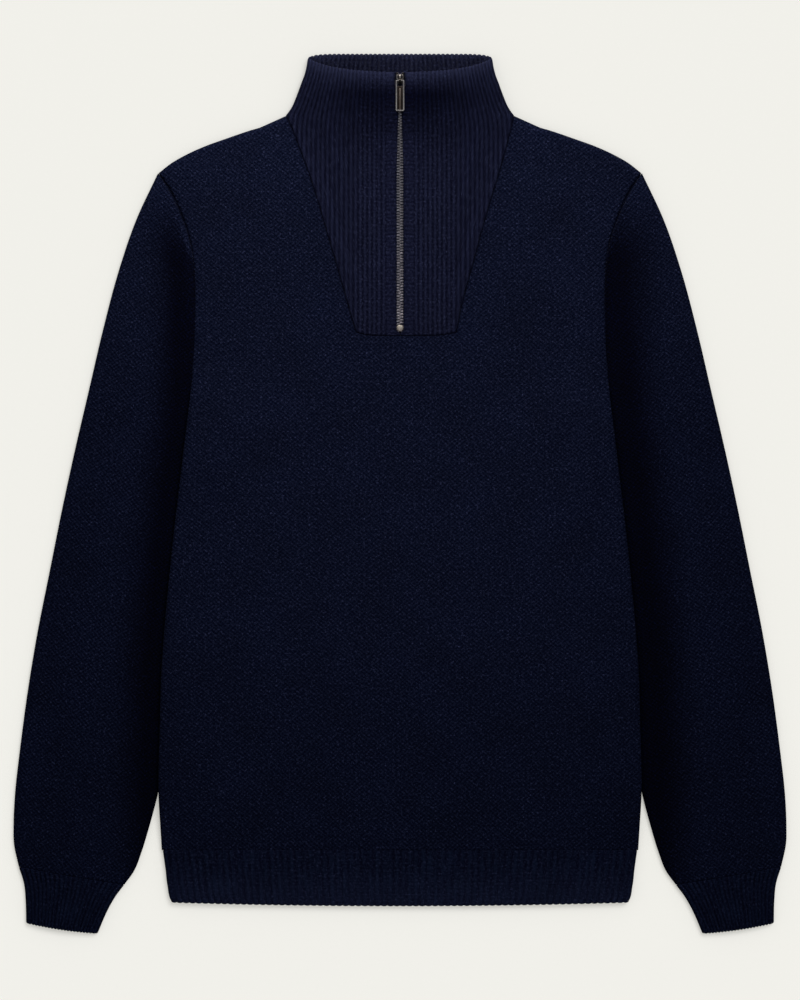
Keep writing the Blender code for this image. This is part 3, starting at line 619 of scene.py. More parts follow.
class Nodes:
    """Small helper that adds and links the nodes of one material."""

    def __init__(self, name: str) -> None:
        """Start a material with its surface shader and output."""
        self.material = bpy.data.materials.new(name)
        self.material.use_nodes = True
        self.tree = self.material.node_tree
        self.surface = self.tree.nodes["Principled BSDF"]

    def add(self, kind: str, inputs: dict[str | int, object] | None = None, **settings: object):
        """Add a node.

        Args:
            kind: Blender's name for the node type.
            inputs: Values or output sockets by input name or number.
            settings: The node's own properties.

        Returns:
            The new node.
        """
        node = self.tree.nodes.new(kind)
        for name, value in settings.items():
            setattr(node, name, value)
        for name, value in (inputs or {}).items():
            self.feed(node.inputs[name], value)
        return node

    def feed(self, socket: Socket, value: object) -> None:
        """Link a socket to another one, or set its value."""
        if isinstance(value, bpy.types.NodeSocket):
            self.tree.links.new(value, socket)
        else:
            socket.default_value = value

    def math(self, operation: str, first: object, second: object = 0.0) -> Socket:
        """Result of one sum on two numbers or sockets."""
        return self.add("ShaderNodeMath", {0: first, 1: second}, operation=operation).outputs[0]

    def plus(self, first: object, second: object) -> Socket:
        """Sum of two numbers or sockets."""
        return self.math("ADD", first, second)

    def times(self, first: object, second: object) -> Socket:
        """Product of two numbers or sockets."""
        return self.math("MULTIPLY", first, second)

    def vector(self, operation: str, inputs: dict[str | int, object]) -> Socket:
        """Result of one sum on vectors."""
        return self.add("ShaderNodeVectorMath", inputs, operation=operation).outputs[0]

    def scaled(self, value: object, low: float, high: float, new_low: float = 0.0,
               new_high: float = 1.0) -> Socket:
        """A value moved from one range to another and kept inside it."""
        node = self.add("ShaderNodeMapRange", {"Value": value, "From Min": low, "From Max": high,
                                               "To Min": new_low, "To Max": new_high})
        return node.outputs["Result"]

    def mix(self, share: object, first: object, second: object, way: str = "MIX") -> Socket:
        """Mix of two colours."""
        node = self.add("ShaderNodeMix", data_type="RGBA", blend_type=way)
        self.feed(node.inputs["Factor"], share)
        self.feed(node.inputs["A"], first)
        self.feed(node.inputs["B"], second)
        return node.outputs["Result"]

    def noise(self, place: object, scale: float, detail: float = 2.0) -> Socket:
        """Soft noise from about 0.3 to 0.7, with scale in waves per metre."""
        node = self.add("ShaderNodeTexNoise", {"Vector": place, "Scale": scale, "Detail": detail})
        return node.outputs["Fac"]

    def object_place(self) -> Socket:
        """Place on the object."""
        return self.add("ShaderNodeTexCoord").outputs["Object"]

    def cloth_place(self, sway: float) -> tuple[Socket, ...]:
        """Place in the knitting, swayed a little as hand-laid yarn is.

        Args:
            sway: Greatest shift of a stitch in millimetres.

        Returns:
            The place, its part across and its part along the cloth.
        """
        place = self.add("ShaderNodeUVMap", uv_map="cloth").outputs["UV"]
        noise = self.add("ShaderNodeTexNoise", {"Vector": place, "Scale": 75.0, "Detail": 1.0})
        shift = self.vector("SUBTRACT", {0: noise.outputs["Color"], 1: (0.5, 0.5, 0.5)})
        small = self.vector("SCALE", {0: shift, "Scale": 4.0 * sway * MM})
        moved = self.vector("ADD", {0: place, 1: small})
        parts = self.add("ShaderNodeSeparateXYZ", {0: moved})
        return moved, parts.outputs["X"], parts.outputs["Y"]

    def wave(self, place: object, length: float) -> Socket:
        """Cosine from -1 to 1 with a wave length in millimetres."""
        return self.math("COSINE", self.times(place, 2.0 * math.pi / (length * MM)))

    def attribute(self, name: str) -> Socket:
        """One of the piece's own point values."""
        return self.add("ShaderNodeAttribute", attribute_name=name).outputs["Fac"]

    def bump(self, height: object, depth: float) -> Socket:
        """Surface tilt from a height of 0 to 1 that stands for a depth in millimetres."""
        node = self.add("ShaderNodeBump", {"Height": height, "Distance": depth * MM})
        return node.outputs["Normal"]

    def finished(self, inputs: dict[str, object]) -> Material:
        """The material, once its surface has these values and sockets."""
        for name, value in inputs.items():
            self.feed(self.surface.inputs[name], value)
        return self.material


@dataclass(frozen=True)
class WoolFinish:
    """Colours, fuzz, painted shade and painted lip highlight that the plain knitting and the ribs share.

    Scales are in waves per metre. The light and bump shares weigh the stitches against the fuzz.
    """

    # Colour of the stitches' valleys, painted as their shade; crest is the colour of their crests
    valley_shade: Colour
    crest: Colour
    pale_fibre: Colour
    sheen: float
    sheen_tint: Colour
    painted_shade_tint: Colour
    fibre_scale: float = 950.0
    grain_scale: float = 420.0
    cloud_scale: float = 22.0
    cloud: Pair = (0.86, 1.12)
    stitch_power: float = 1.4
    stitch_light: float = 0.68
    fuzz_light: float = 0.32
    stitch_bump: float = 0.72
    fuzz_bump: float = 0.28
    heather_power: float = 2.2
    nap_and_highlight: Pair = (0.15, 0.61)
    roughness: Pair = (1.0, 0.86)
    sheen_roughness: float = 0.25
    specular: float = 0.015

    def finish(self, nodes: Nodes, place: object, height: object, depth: float) -> Material:
        """Colour, fuzz, painted shade and highlight, and bump of wool from the height of its stitches.

        Args:
            nodes: Nodes of the material so far.
            place: Place in the knitting.
            height: Height of the stitches, from 0 to 1.
            depth: Depth of the stitches in millimetres.

        Returns:
            The finished material.
        """
        fuzz = nodes.scaled(nodes.noise(place, self.fibre_scale, 3.0), 0.3, 0.7)
        grain = nodes.scaled(nodes.noise(place, self.grain_scale), 0.32, 0.68)
        cloud = nodes.scaled(nodes.noise(place, self.cloud_scale, 3.0), 0.3, 0.7, *self.cloud)
        light = nodes.plus(nodes.times(nodes.math("POWER", height, self.stitch_power), self.stitch_light),
                           nodes.times(fuzz, self.fuzz_light))
        # Painted shade in the knitting: stitch valleys darker than crests, on top of the bump
        colour = nodes.mix(light, self.valley_shade, self.crest)
        heather = nodes.math("POWER", nodes.times(grain, fuzz), self.heather_power)
        colour = nodes.mix(heather, colour, self.pale_fibre)
        # Pale fuzz on edges, with a painted highlight on the lips
        edge = nodes.times(nodes.attribute("nap_and_highlight"), nodes.scaled(fuzz, 0.0, 1.0, *self.nap_and_highlight))
        colour = nodes.mix(edge, colour, self.pale_fibre)
        # Painted shade in creases, seams, beside the body and under neighbours
        painted_shade = nodes.mix(nodes.attribute("painted_shade"), WHITE, self.painted_shade_tint)
        colour = nodes.mix(1.0, colour, painted_shade, "MULTIPLY")
        grey = nodes.add("ShaderNodeCombineColor", {0: cloud, 1: cloud, 2: cloud}).outputs[0]
        colour = nodes.mix(1.0, colour, grey, "MULTIPLY")
        bump_height = nodes.plus(nodes.times(height, self.stitch_bump), nodes.times(fuzz, self.fuzz_bump))
        return nodes.finished({
            "Base Color": colour,
            "Roughness": nodes.scaled(fuzz, 0.0, 1.0, *self.roughness),
            "Normal": nodes.bump(bump_height, depth),
            "Specular IOR Level": self.specular,
            "Sheen Weight": self.sheen,
            "Sheen Roughness": self.sheen_roughness,
            "Sheen Tint": self.sheen_tint,
        })


@dataclass(frozen=True)
class MossKnit:
    """Staggered moss stitches of the body and the sleeves."""

    wool: WoolFinish
    stitch_width: float = 4.3
    stitch_length: float = 3.6
    sway: float = 0.35
    hills: Pair = (-0.75, 0.85)
    depth: float = 0.6

    def material(self) -> Material:
        """Make the finish."""
        nodes = Nodes(Slot.KNIT.value + "_moss")
        place, across, along = nodes.cloth_place(self.sway)
        lattice = nodes.times(nodes.wave(across, self.stitch_width), nodes.wave(along, self.stitch_length))
        return self.wool.finish(nodes, place, nodes.scaled(lattice, *self.hills), self.depth)


@dataclass(frozen=True)
class RibKnit:
    """Stitches stacked along a rib, each a small V, with plain ridges beside the zip."""

    wool: WoolFinish
    name: str
    pitch: float
    ridge_share: float = 0.90
    streak: float = 0.22
    stitch_length: float = 3.1
    plain_length: float = 3.7
    depth: float = 0.4
    sway: float = 0.15
    lean: float = 0.42
    streak_scale: float = 240.0
    streak_stretch: float = 0.2
    ridge_power: float = 1.5
    stitch_share: float = 0.16
    plain_share: float = 0.22

    def material(self) -> Material:
        """Make the finish."""
        nodes = Nodes(self.name)
        place, across, along = nodes.cloth_place(self.sway)
        ridge = nodes.math("ABSOLUTE", nodes.math("SINE", nodes.times(across, math.pi / (self.pitch * MM))))
        lean = nodes.times(ridge, self.lean * self.stitch_length * MM)
        stitch = nodes.wave(nodes.plus(along, lean), self.stitch_length)
        long_place = nodes.add("ShaderNodeCombineXYZ",
                               {0: across, 1: nodes.times(along, self.streak_stretch)})
        even = 0.56 * (0.90 - self.ridge_share)
        streak = nodes.scaled(nodes.noise(long_place.outputs[0], self.streak_scale), 0.3, 0.7,
                              even - self.streak, even + self.streak)
        ribbed = nodes.plus(nodes.times(nodes.math("POWER", ridge, self.ridge_power), self.ridge_share),
                            nodes.plus(nodes.times(stitch, self.stitch_share), streak))
        plain = nodes.plus(0.5, nodes.times(nodes.wave(along, self.plain_length), self.plain_share))
        mask = nodes.attribute("plain")
        gap = nodes.times(nodes.math("SUBTRACT", plain, ribbed), mask)
        return self.wool.finish(nodes, place, nodes.scaled(nodes.plus(ribbed, gap), 0.0, 1.0), self.depth)


@dataclass(frozen=True)
class TapeWeave:
    """Fine diagonal weave of the zip's tape."""

    colour: Colour = (0.0060, 0.0070, 0.0180, 1.0)
    thread: Colour = (0.0130, 0.0150, 0.0330, 1.0)
    twill: float = 0.9
    pick_share: float = 0.6
    fuzz_scale: float = 1500.0
    depth: float = 0.12
    specular: float = 0.15

    def material(self) -> Material:
        """Make the finish."""
        nodes = Nodes(Slot.TAPE.value + "_twill")
        place = nodes.object_place()
        parts = nodes.add("ShaderNodeSeparateXYZ", {0: place}).outputs
        slant = nodes.plus(nodes.math("ABSOLUTE", parts["X"]), parts["Y"])
        weave = nodes.scaled(nodes.wave(slant, self.twill), -1.0, 1.0)
        picks = nodes.scaled(nodes.wave(parts["Y"], self.twill * self.pick_share), -1.0, 1.0)
        fuzz = nodes.noise(place, self.fuzz_scale)
        height = nodes.plus(nodes.times(weave, 0.7), nodes.times(picks, 0.3))
        light = nodes.times(height, nodes.scaled(fuzz, 0.3, 0.7, 0.6, 1.0))
        return nodes.finished({
            "Base Color": nodes.mix(light, self.colour, self.thread),
            "Roughness": nodes.scaled(fuzz, 0.3, 0.7, 0.72, 0.9),
            "Normal": nodes.bump(height, self.depth),
            "Specular IOR Level": self.specular,
        })


@dataclass(frozen=True)
class MetalFinish:
    """Cast zip metal, tumbled so that its edges are brighter than its flats.

    bar is the width in millimetres of a painted highlight down the middle, and bar_end the place
    along the zip where it ends.
    """

    name: str
    flat: Colour
    worn: Colour
    roughness: float
    bar: float = 0.0
    bar_end: float = 400.0
    bar_fade: float = 0.15
    bar_light: float = 0.9
    stain_scale: float = 520.0
    grain_scale: float = 4200.0
    stain_share: float = 0.35
    edge_share: float = 0.3
    sharp: Pair = (0.5, 0.62)
    depth: float = 0.02

    def highlight_bar(self, nodes: Nodes, place: Socket) -> Socket:
        """How bright the painted highlight down the middle is at a place.

        Args:
            nodes: Nodes of the material so far.
            place: Place on the object.

        Returns:
            Its share, from 0 to 1.
        """
        parts = nodes.add("ShaderNodeSeparateXYZ", {0: place}).outputs
        side = self.bar / 2.0
        across = nodes.scaled(nodes.math("ABSOLUTE", parts["X"]), side * MM, (side + self.bar_fade) * MM,
                              self.bar_light, 0.0)
        along = nodes.scaled(parts["Y"], self.bar_end * MM, (self.bar_end + 2.0 * self.bar_fade) * MM,
                             1.0, 0.0)
        return nodes.times(across, along)

    def material(self) -> Material:
        """Make the finish."""
        nodes = Nodes(self.name)
        place = nodes.object_place()
        stain = nodes.scaled(nodes.noise(place, self.stain_scale, 3.0), 0.35, 0.65)
        grain = nodes.noise(place, self.grain_scale)
        wear = nodes.scaled(nodes.add("ShaderNodeNewGeometry").outputs["Pointiness"], *self.sharp)
        share = nodes.plus(nodes.times(stain, self.stain_share), wear)
        # Painted highlight down the middle; the edges' wear counts less beside it
        if self.bar:
            bar = self.highlight_bar(nodes, place)
            share = nodes.plus(nodes.times(share, self.edge_share), bar)
        return nodes.finished({
            "Base Color": nodes.mix(nodes.math("MINIMUM", share, 1.0), self.flat, self.worn),
            "Roughness": nodes.scaled(stain, 0.0, 1.0, self.roughness + 0.1, self.roughness - 0.06),
            "Normal": nodes.bump(grain, self.depth),
            "Metallic": 1.0,
        })


@dataclass(frozen=True)
class FloorFinish:
    """Pale seamless paper, with a little light of its own so that it stays even."""

    colour: Colour = (0.576, 0.572, 0.553, 1.0)
    grain: Colour = (0.566, 0.562, 0.543, 1.0)
    glow: Colour = (0.3666, 0.3635, 0.3425, 1.0)
    grain_scale: float = 300.0
    depth: float = 0.02

    def material(self) -> Material:
        """Make the finish."""
        nodes = Nodes("pale_paper")
        speck = nodes.noise(nodes.object_place(), self.grain_scale, 3.0)
        return nodes.finished({
            "Base Color": nodes.mix(speck, self.colour, self.grain),
            "Normal": nodes.bump(speck, self.depth),
            "Roughness": 0.95,
            "Specular IOR Level": 0.0,
            "Emission Color": self.glow,
            "Emission Strength": 1.0,
        })


@dataclass(frozen=True)
class BodyPanels:
    """Front and back of the body, with the sizes that their neighbours share.

    Here and below, the pairs that rising and falling take are a start and a width.
    """

    wall: float = 2.6
    shell: float = 1.0
    hem_top: float = -320.7
    insert_foot: float = 144.0
    underarm: float = 88.0
    shoulder_tip: float = 289.0
    neck_corner: float = 340.5
    neck_dip: float = 14.0
    side_reach: float = 7.0
    shoulder_reach: float = 5.0
    seam_radius: float = 0.9
    hem_radius: float = 1.8
    sag_middle: float = 1.8
    sag_corner: float = 3.3
    sag_reach: Pair = (12.0, 26.0)
    lift_reach: Pair = (16.0, 84.0)
    lift_spread: tuple[float, ...] = (-15.0, -7.5, 0.0, 7.5, 15.0)
    unevenness: float = 0.45
    loose: Pair = (4.0, 30.0)
    crease_shade: float = 0.16
    seam_shade: Shade = Shade(0.38, 1.1)
    armhole_shade: Shade = Shade(0.22, 1.2)
    hem_shade: Shade = Shade(0.06, 9.0)
    hem_drop: float = 0.12
    lower_shade: float = 0.07
    lower: Pair = (-120.0, 90.0)
    armhole_far: float = 40.0
    armhole_rise: Pair = (-6.0, 14.0)
    front_step: float = 3.0
    back_step: float = 6.0
    middle_cells: int = 44
    front_cut: Cut = Cut(438.0, 662.0, 0.82)
    back_cut: Cut = Cut(438.0, 662.0, 0.91)
    sections: Curve = Curve(
        "y half_width lift roll side_gap middle_gap",
        (-320.7, 214.6, 0.0, 1.00, 0.8, 1.6),
        (-300.0, 215.8, 2.6, 1.00, 0.7, 2.4),
        (-272.0, 217.3, 6.3, 1.00, 0.5, 3.1),
        (-215.0, 216.4, 6.5, 1.00, 0.5, 3.5),
        (-159.0, 214.7, 6.5, 1.00, 0.5, 3.6),
        (-72.0, 207.5, 6.5, 1.00, 0.5, 3.6),
        (31.0, 195.8, 6.5, 1.00, 0.5, 3.6),
        (64.0, 191.9, 6.4, 1.00, 0.6, 3.6),
        (88.0, 189.0, 3.4, 0.70, 0.9, 3.6),
        (116.0, 186.8, 0.0, 0.35, 1.2, 3.5),
        (150.0, 185.4, 0.0, 0.35, 1.3, 3.5),
        (190.0, 185.0, 0.0, 0.35, 1.3, 3.4),
        (208.0, 185.9, 0.0, 0.35, 1.3, 3.3),
        (227.0, 189.3, 0.0, 0.35, 1.2, 3.1),
        (247.0, 196.0, 0.0, 0.35, 1.1, 2.8),
        (266.0, 204.2, 0.0, 0.35, 1.0, 2.2),
        (281.0, 212.6, 0.0, 0.35, 0.9, 1.6),
        (289.0, 217.5, 0.0, 0.35, 0.8, 1.3),
    )
    shoulder: Curve = Curve(
        "x y",
        (103.0, 340.5),
        (113.9, 334.0),
        (135.5, 327.4),
        (157.1, 320.0),
        (176.9, 312.8),
        (193.1, 305.4),
        (206.6, 297.6),
        (217.5, 289.0),
    )
    insert_seam: Curve = Curve(
        "y left_x right_x",
        (144.0, 39.5, 51.0),
        (162.5, 44.9, 54.2),
        (190.0, 52.6, 61.1),
        (212.0, 59.0, 67.3),
        (237.0, 66.4, 73.9),
        (268.0, 75.5, 83.0),
        (290.0, 82.8, 89.8),
        (312.0, 91.0, 96.0),
        (327.0, 96.6, 99.8),
        (340.5, 103.0, 103.0),
    )
    creases: Creases = Creases(
        (-178.0, 74.0, -120.0, 18.0, 0.7, 8.0, 6.0),
        (-182.0, 30.0, -140.0, -40.0, 0.5, 9.0, -5.0),
        (176.0, 80.0, 128.0, 10.0, 0.6, 7.5, -7.0),
        (184.0, 20.0, 150.0, -62.0, 0.5, 9.0, 4.0),
        (-96.0, -318.0, -110.0, -262.0, 0.5, 7.0, 3.0),
        (40.0, -319.0, 52.0, -280.0, 0.4, 6.0, -2.0),
        (150.0, -318.0, 138.0, -250.0, 0.5, 8.0, 4.0),
        (-150.0, 262.0, -112.0, 214.0, 0.4, 9.0, 5.0),
        (158.0, 258.0, 110.0, 208.0, 0.4, 9.0, -4.0),
    )

    def half_width(self, y: Array | float) -> Array:
        """Half of the body's width at a height on the sheet."""
        return self.sections.smooth("half_width", y)

    def seam_x(self, side: Side, y: Array | float) -> Array:
        """Distance of the insert's seam from the middle."""
        column = "left_x" if side is Side.LEFT else "right_x"
        return self.insert_seam.smooth(column, np.maximum(y, self.insert_foot))

    def sag(self, x: Array, height: Array) -> Array:
        """How far the insert's seam hangs below its straight line, with its corners rounded.

        Args:
            x: Places across.
            height: Heights on the straight seam.

        Returns:
            The distance downward in millimetres.
        """
        left, right = (float(self.seam_x(side, self.insert_foot)) for side in Side)
        share = np.abs(x) / np.where(x < 0.0, left, right)
        hang = self.sag_middle - self.sag_corner * np.minimum(share, 1.0) ** 5
        hang *= np.exp(-((np.maximum(share - 1.0, 0.0) * 5.0) ** 2))
        above = height - self.insert_foot
        return hang * (1.0 - ease(np.abs(above) / np.where(above > 0.0, *self.sag_reach)))

    def rows(self, step: float) -> Array:
        """Rows of a panel from the hem to the shoulder.

        Args:
            step: Usual distance between rows.

        Returns:
            Columns with the height at the side, the height at the insert's seam, how far the
            row bulges to the shoulder line and how far it has risen from the shoulder's fold.
        """
        low = self.hem_top + (self.insert_foot - self.hem_top) * spaced(
            self.insert_foot - self.hem_top, step)
        level = np.stack([low, low, 0.0 * low, 0.0 * low + 1.0], axis=1)
        share = spaced(self.neck_corner - self.insert_foot, step)[1:]
        tilted = np.stack([blend(self.insert_foot, self.shoulder_tip - self.shoulder_reach, share),
                           blend(self.insert_foot, self.neck_corner - self.shoulder_reach, share),
                           share**2, 0.0 * share + 1.0], axis=1)
        drop = self.shoulder_reach * FOLD_STEPS[-2::-1]
        fold = np.stack([self.shoulder_tip - drop, self.neck_corner - drop, 0.0 * drop + 1.0,
                         FOLD_RISES[-2::-1]], axis=1)
        return np.concatenate([level, tilted, fold])

    def bulge(self, x: Array, seam_x: Array) -> Array:
        """How far the shoulder line lies above the straight line from tip to neck corner.

        Args:
            x: Places across.
            seam_x: Distance of the insert's seam from the middle.

        Returns:
            The distance in millimetres.
        """
        tip = self.half_width(self.shoulder_tip)
        straight = blend(self.shoulder_tip, self.neck_corner, (tip - x) / (tip - seam_x))
        return np.maximum(self.shoulder.smooth("y", x) - straight, 0.0)

    def height(self, layer: Layer, x: Array, y: Array, width: Array, rises: Array) -> Array:
        """Height of the outer face of the front or the back.

        Args:
            layer: UPPER for the front and LOWER for the back.
            x: Places across.
            y: Heights on the sheet.
            width: Half of the body's width there.
            rises: How far each point has risen from the side's fold, up to 1.

        Returns:
            Heights above the floor.
        """
        from_edge = width - np.abs(x)
        lift = sum(self.sections.level("lift", y + step) for step in self.lift_spread) / len(self.lift_spread)
        lift = lift * (1.0 - rising(from_edge, *self.lift_reach))
        side_gap = self.sections.level("side_gap", y)
        gap = side_gap + (self.sections.level("middle_gap", y) - side_gap) * (1.0 - (x / width) ** 2)
        return lift + self.wall + gap / 2.0 + layer.value * (gap / 2.0 + self.wall) * rises

    def sheet(self, layer: Layer, step: float) -> Cloth:
        """Outer face of the front or back panel, seen from above.

        Args:
            layer: UPPER for the front and LOWER for the back.
            step: Usual distance between points.

        Returns:
            The panel's cloth.
        """
        side_y, seam_y, bulge, rise = (column[:, None] for column in self.rows(step).T)
        width = self.half_width(side_y)
        roll = self.sections.level("roll", side_y)
        flat = spaced(width.min() - self.seam_x(Side.LEFT, self.insert_foot), step)[1:]
        halves = []
        for side in Side:
            seam_x = self.seam_x(side, seam_y)
            fold = np.broadcast_to(self.side_reach * FOLD_STEPS, (len(width), len(FOLD_STEPS)))
            distances = np.concatenate(
                [fold, self.side_reach + (width - seam_x - self.side_reach) * flat], axis=1)
            rises = np.concatenate([FOLD_RISES, np.ones(len(flat))])[None, :]
            x = width - distances
            y = blend(side_y, seam_y, distances / (width - seam_x)) + bulge * self.bulge(x, seam_x)
            rises = (1.0 - roll * (1.0 - rises)) * rise
            halves.append((side.value * x, y, rises, distances, width - seam_x - distances))
        left, right = halves
        share = np.linspace(0.0, 1.0, self.middle_cells + 1)[None, 1:-1]
        dip = self.neck_dip * bulge * (1.0 - (2.0 * share - 1.0) ** 2)
        middle_x = blend(left[0][:, -1:], right[0][:, -1:], share)
        far = np.full(middle_x.shape, self.side_reach * 9.0)
        middle = (middle_x, seam_y - dip, np.ones(middle_x.shape) * rise, far, far)
        x, y, rises, from_side, from_seam = (
            np.concatenate([a, b, c[:, ::-1]], axis=1) for a, b, c in zip(left, middle, right))
        z = self.height(layer, x, side_y, width, rises)
        loose = rising(from_side, *self.loose) * rise
        none = np.zeros(x.shape)
        painted_shade, kept = none, None
        if layer is Layer.UPPER:
            drop, painted_shade = self.seam_drop(x, y, side_y, seam_y, from_side, from_seam)
            troughs = self.creases.drop(x, y)
            z = z - drop - troughs * rise + relief(x, y, self.unevenness) * loose
            # Painted shade in the creases
            painted_shade = painted_shade + self.crease_shade * troughs
            y = y - self.sag(x, seam_y + 0.0 * x)
            first = len(FOLD_STEPS) + len(flat) - 1
            kept = np.ones((x.shape[0] - 1, x.shape[1] - 1), dtype=bool)
            beside_insert = seam_y[:-1, 0] >= self.insert_foot - 0.001
            kept[beside_insert, first:first + self.middle_cells] = False
        return Cloth(np.stack([x, y, z], axis=2), np.stack([x, y], axis=2), painted_shade, none, none, kept)

    def seam_drop(self, x: Array, y: Array, side_y: Array, seam_y: Array, from_side: Array,
                  from_seam: Array) -> tuple[Array, Array]:
        """How far the front's edges turn down into their seams, and the shade painted there.

        Args:
            x: Points' places across.
            y: Points' heights on the sheet.
            side_y: Height of each row at the side.
            seam_y: Height of each row at the insert's seam.
            from_side: Distance of each point from the side's edge.
            from_seam: Distance of each point from the insert's seam, along the row.

        Returns:
            The drop in millimetres, and the shade painted along the seams and hem and towards the bottom.
        """
        right = self.seam_x(Side.RIGHT, self.insert_foot)
        left = self.seam_x(Side.LEFT, self.insert_foot)
        beside = np.maximum(np.maximum(x - right, -left - x), 0.0)
        foot = np.hypot(beside, self.insert_foot - y)
        seam = np.where(seam_y > self.insert_foot, from_seam, foot)
        above = rising(side_y - self.underarm, *self.armhole_rise)
        armhole = from_side + self.armhole_far * (1.0 - above)
        hem = y - self.hem_top
        drop = (rounded_drop(seam, self.seam_radius) + rounded_drop(armhole, self.seam_radius)
                + rounded_drop(hem, self.hem_radius) * self.hem_drop)
        # Painted shade along the seams, armholes and hem, and darker towards the bottom
        painted_shade = (self.seam_shade.at(seam) + self.armhole_shade.at(armhole) + self.hem_shade.at(hem)
                  + self.lower_shade * falling(y, *self.lower))
        return drop, painted_shade

    def make(self, material: Material) -> None:
        """Make the front and the back."""
        front = knit("front_panel", self.sheet(Layer.UPPER, self.front_step), self.shell)
        dress(front, material, ("body_front",))
        back = knit("back_panel", self.sheet(Layer.LOWER, self.back_step).turned(), self.shell)
        dress(back, material, ("body_back",))
        self.back_cut.declare(back, ("sleeve_tube_left", "sleeve_tube_right"))
        self.front_cut.declare(front, (back.name,))


@dataclass(frozen=True)
class TubeRows:
    """Rows across a flattened tube: ends of each row, height inside and what bends it."""

    start: Array
    end: Array
    crown: Array
    wall: float
    reach: float
    edge_gap: float
    crown_start: float = 0.45
    crown_end: float = 0.5

    def ring_part(self, layer: Layer, outer: bool, shares: Array) -> tuple[Array, ...]:
        """Points along the upper or the lower sheet.

        Args:
            layer: UPPER or LOWER sheet.
            outer: Whether the points lie on the cloth's outer face.
            shares: Shares of the flat part between the two folded edges.

        Returns:
            Points, share of the way across, distance across and rise of each.
        """
        width = np.linalg.norm(self.end - self.start, axis=1)[:, None]
        inset = 0.0 if outer else self.wall
        distances, rises = folded_columns(width, self.reach, inset, shares)
        share = distances / width
        gap = self.edge_gap + ((self.crown[:, None] - self.edge_gap) * ease(share / self.crown_start)
                               * ease((1.0 - share) / self.crown_end))
        depth = gap / 2.0 + (self.wall if outer else 0.0)
        z = self.wall + gap / 2.0 + layer.value * depth * rises
        xy = self.start[:, None, :] + (self.end - self.start)[:, None, :] * share[:, :, None]
        points = np.concatenate([xy, z[:, :, None]], axis=2)
        return points, share, distances, np.broadcast_to(rises, share.shape)


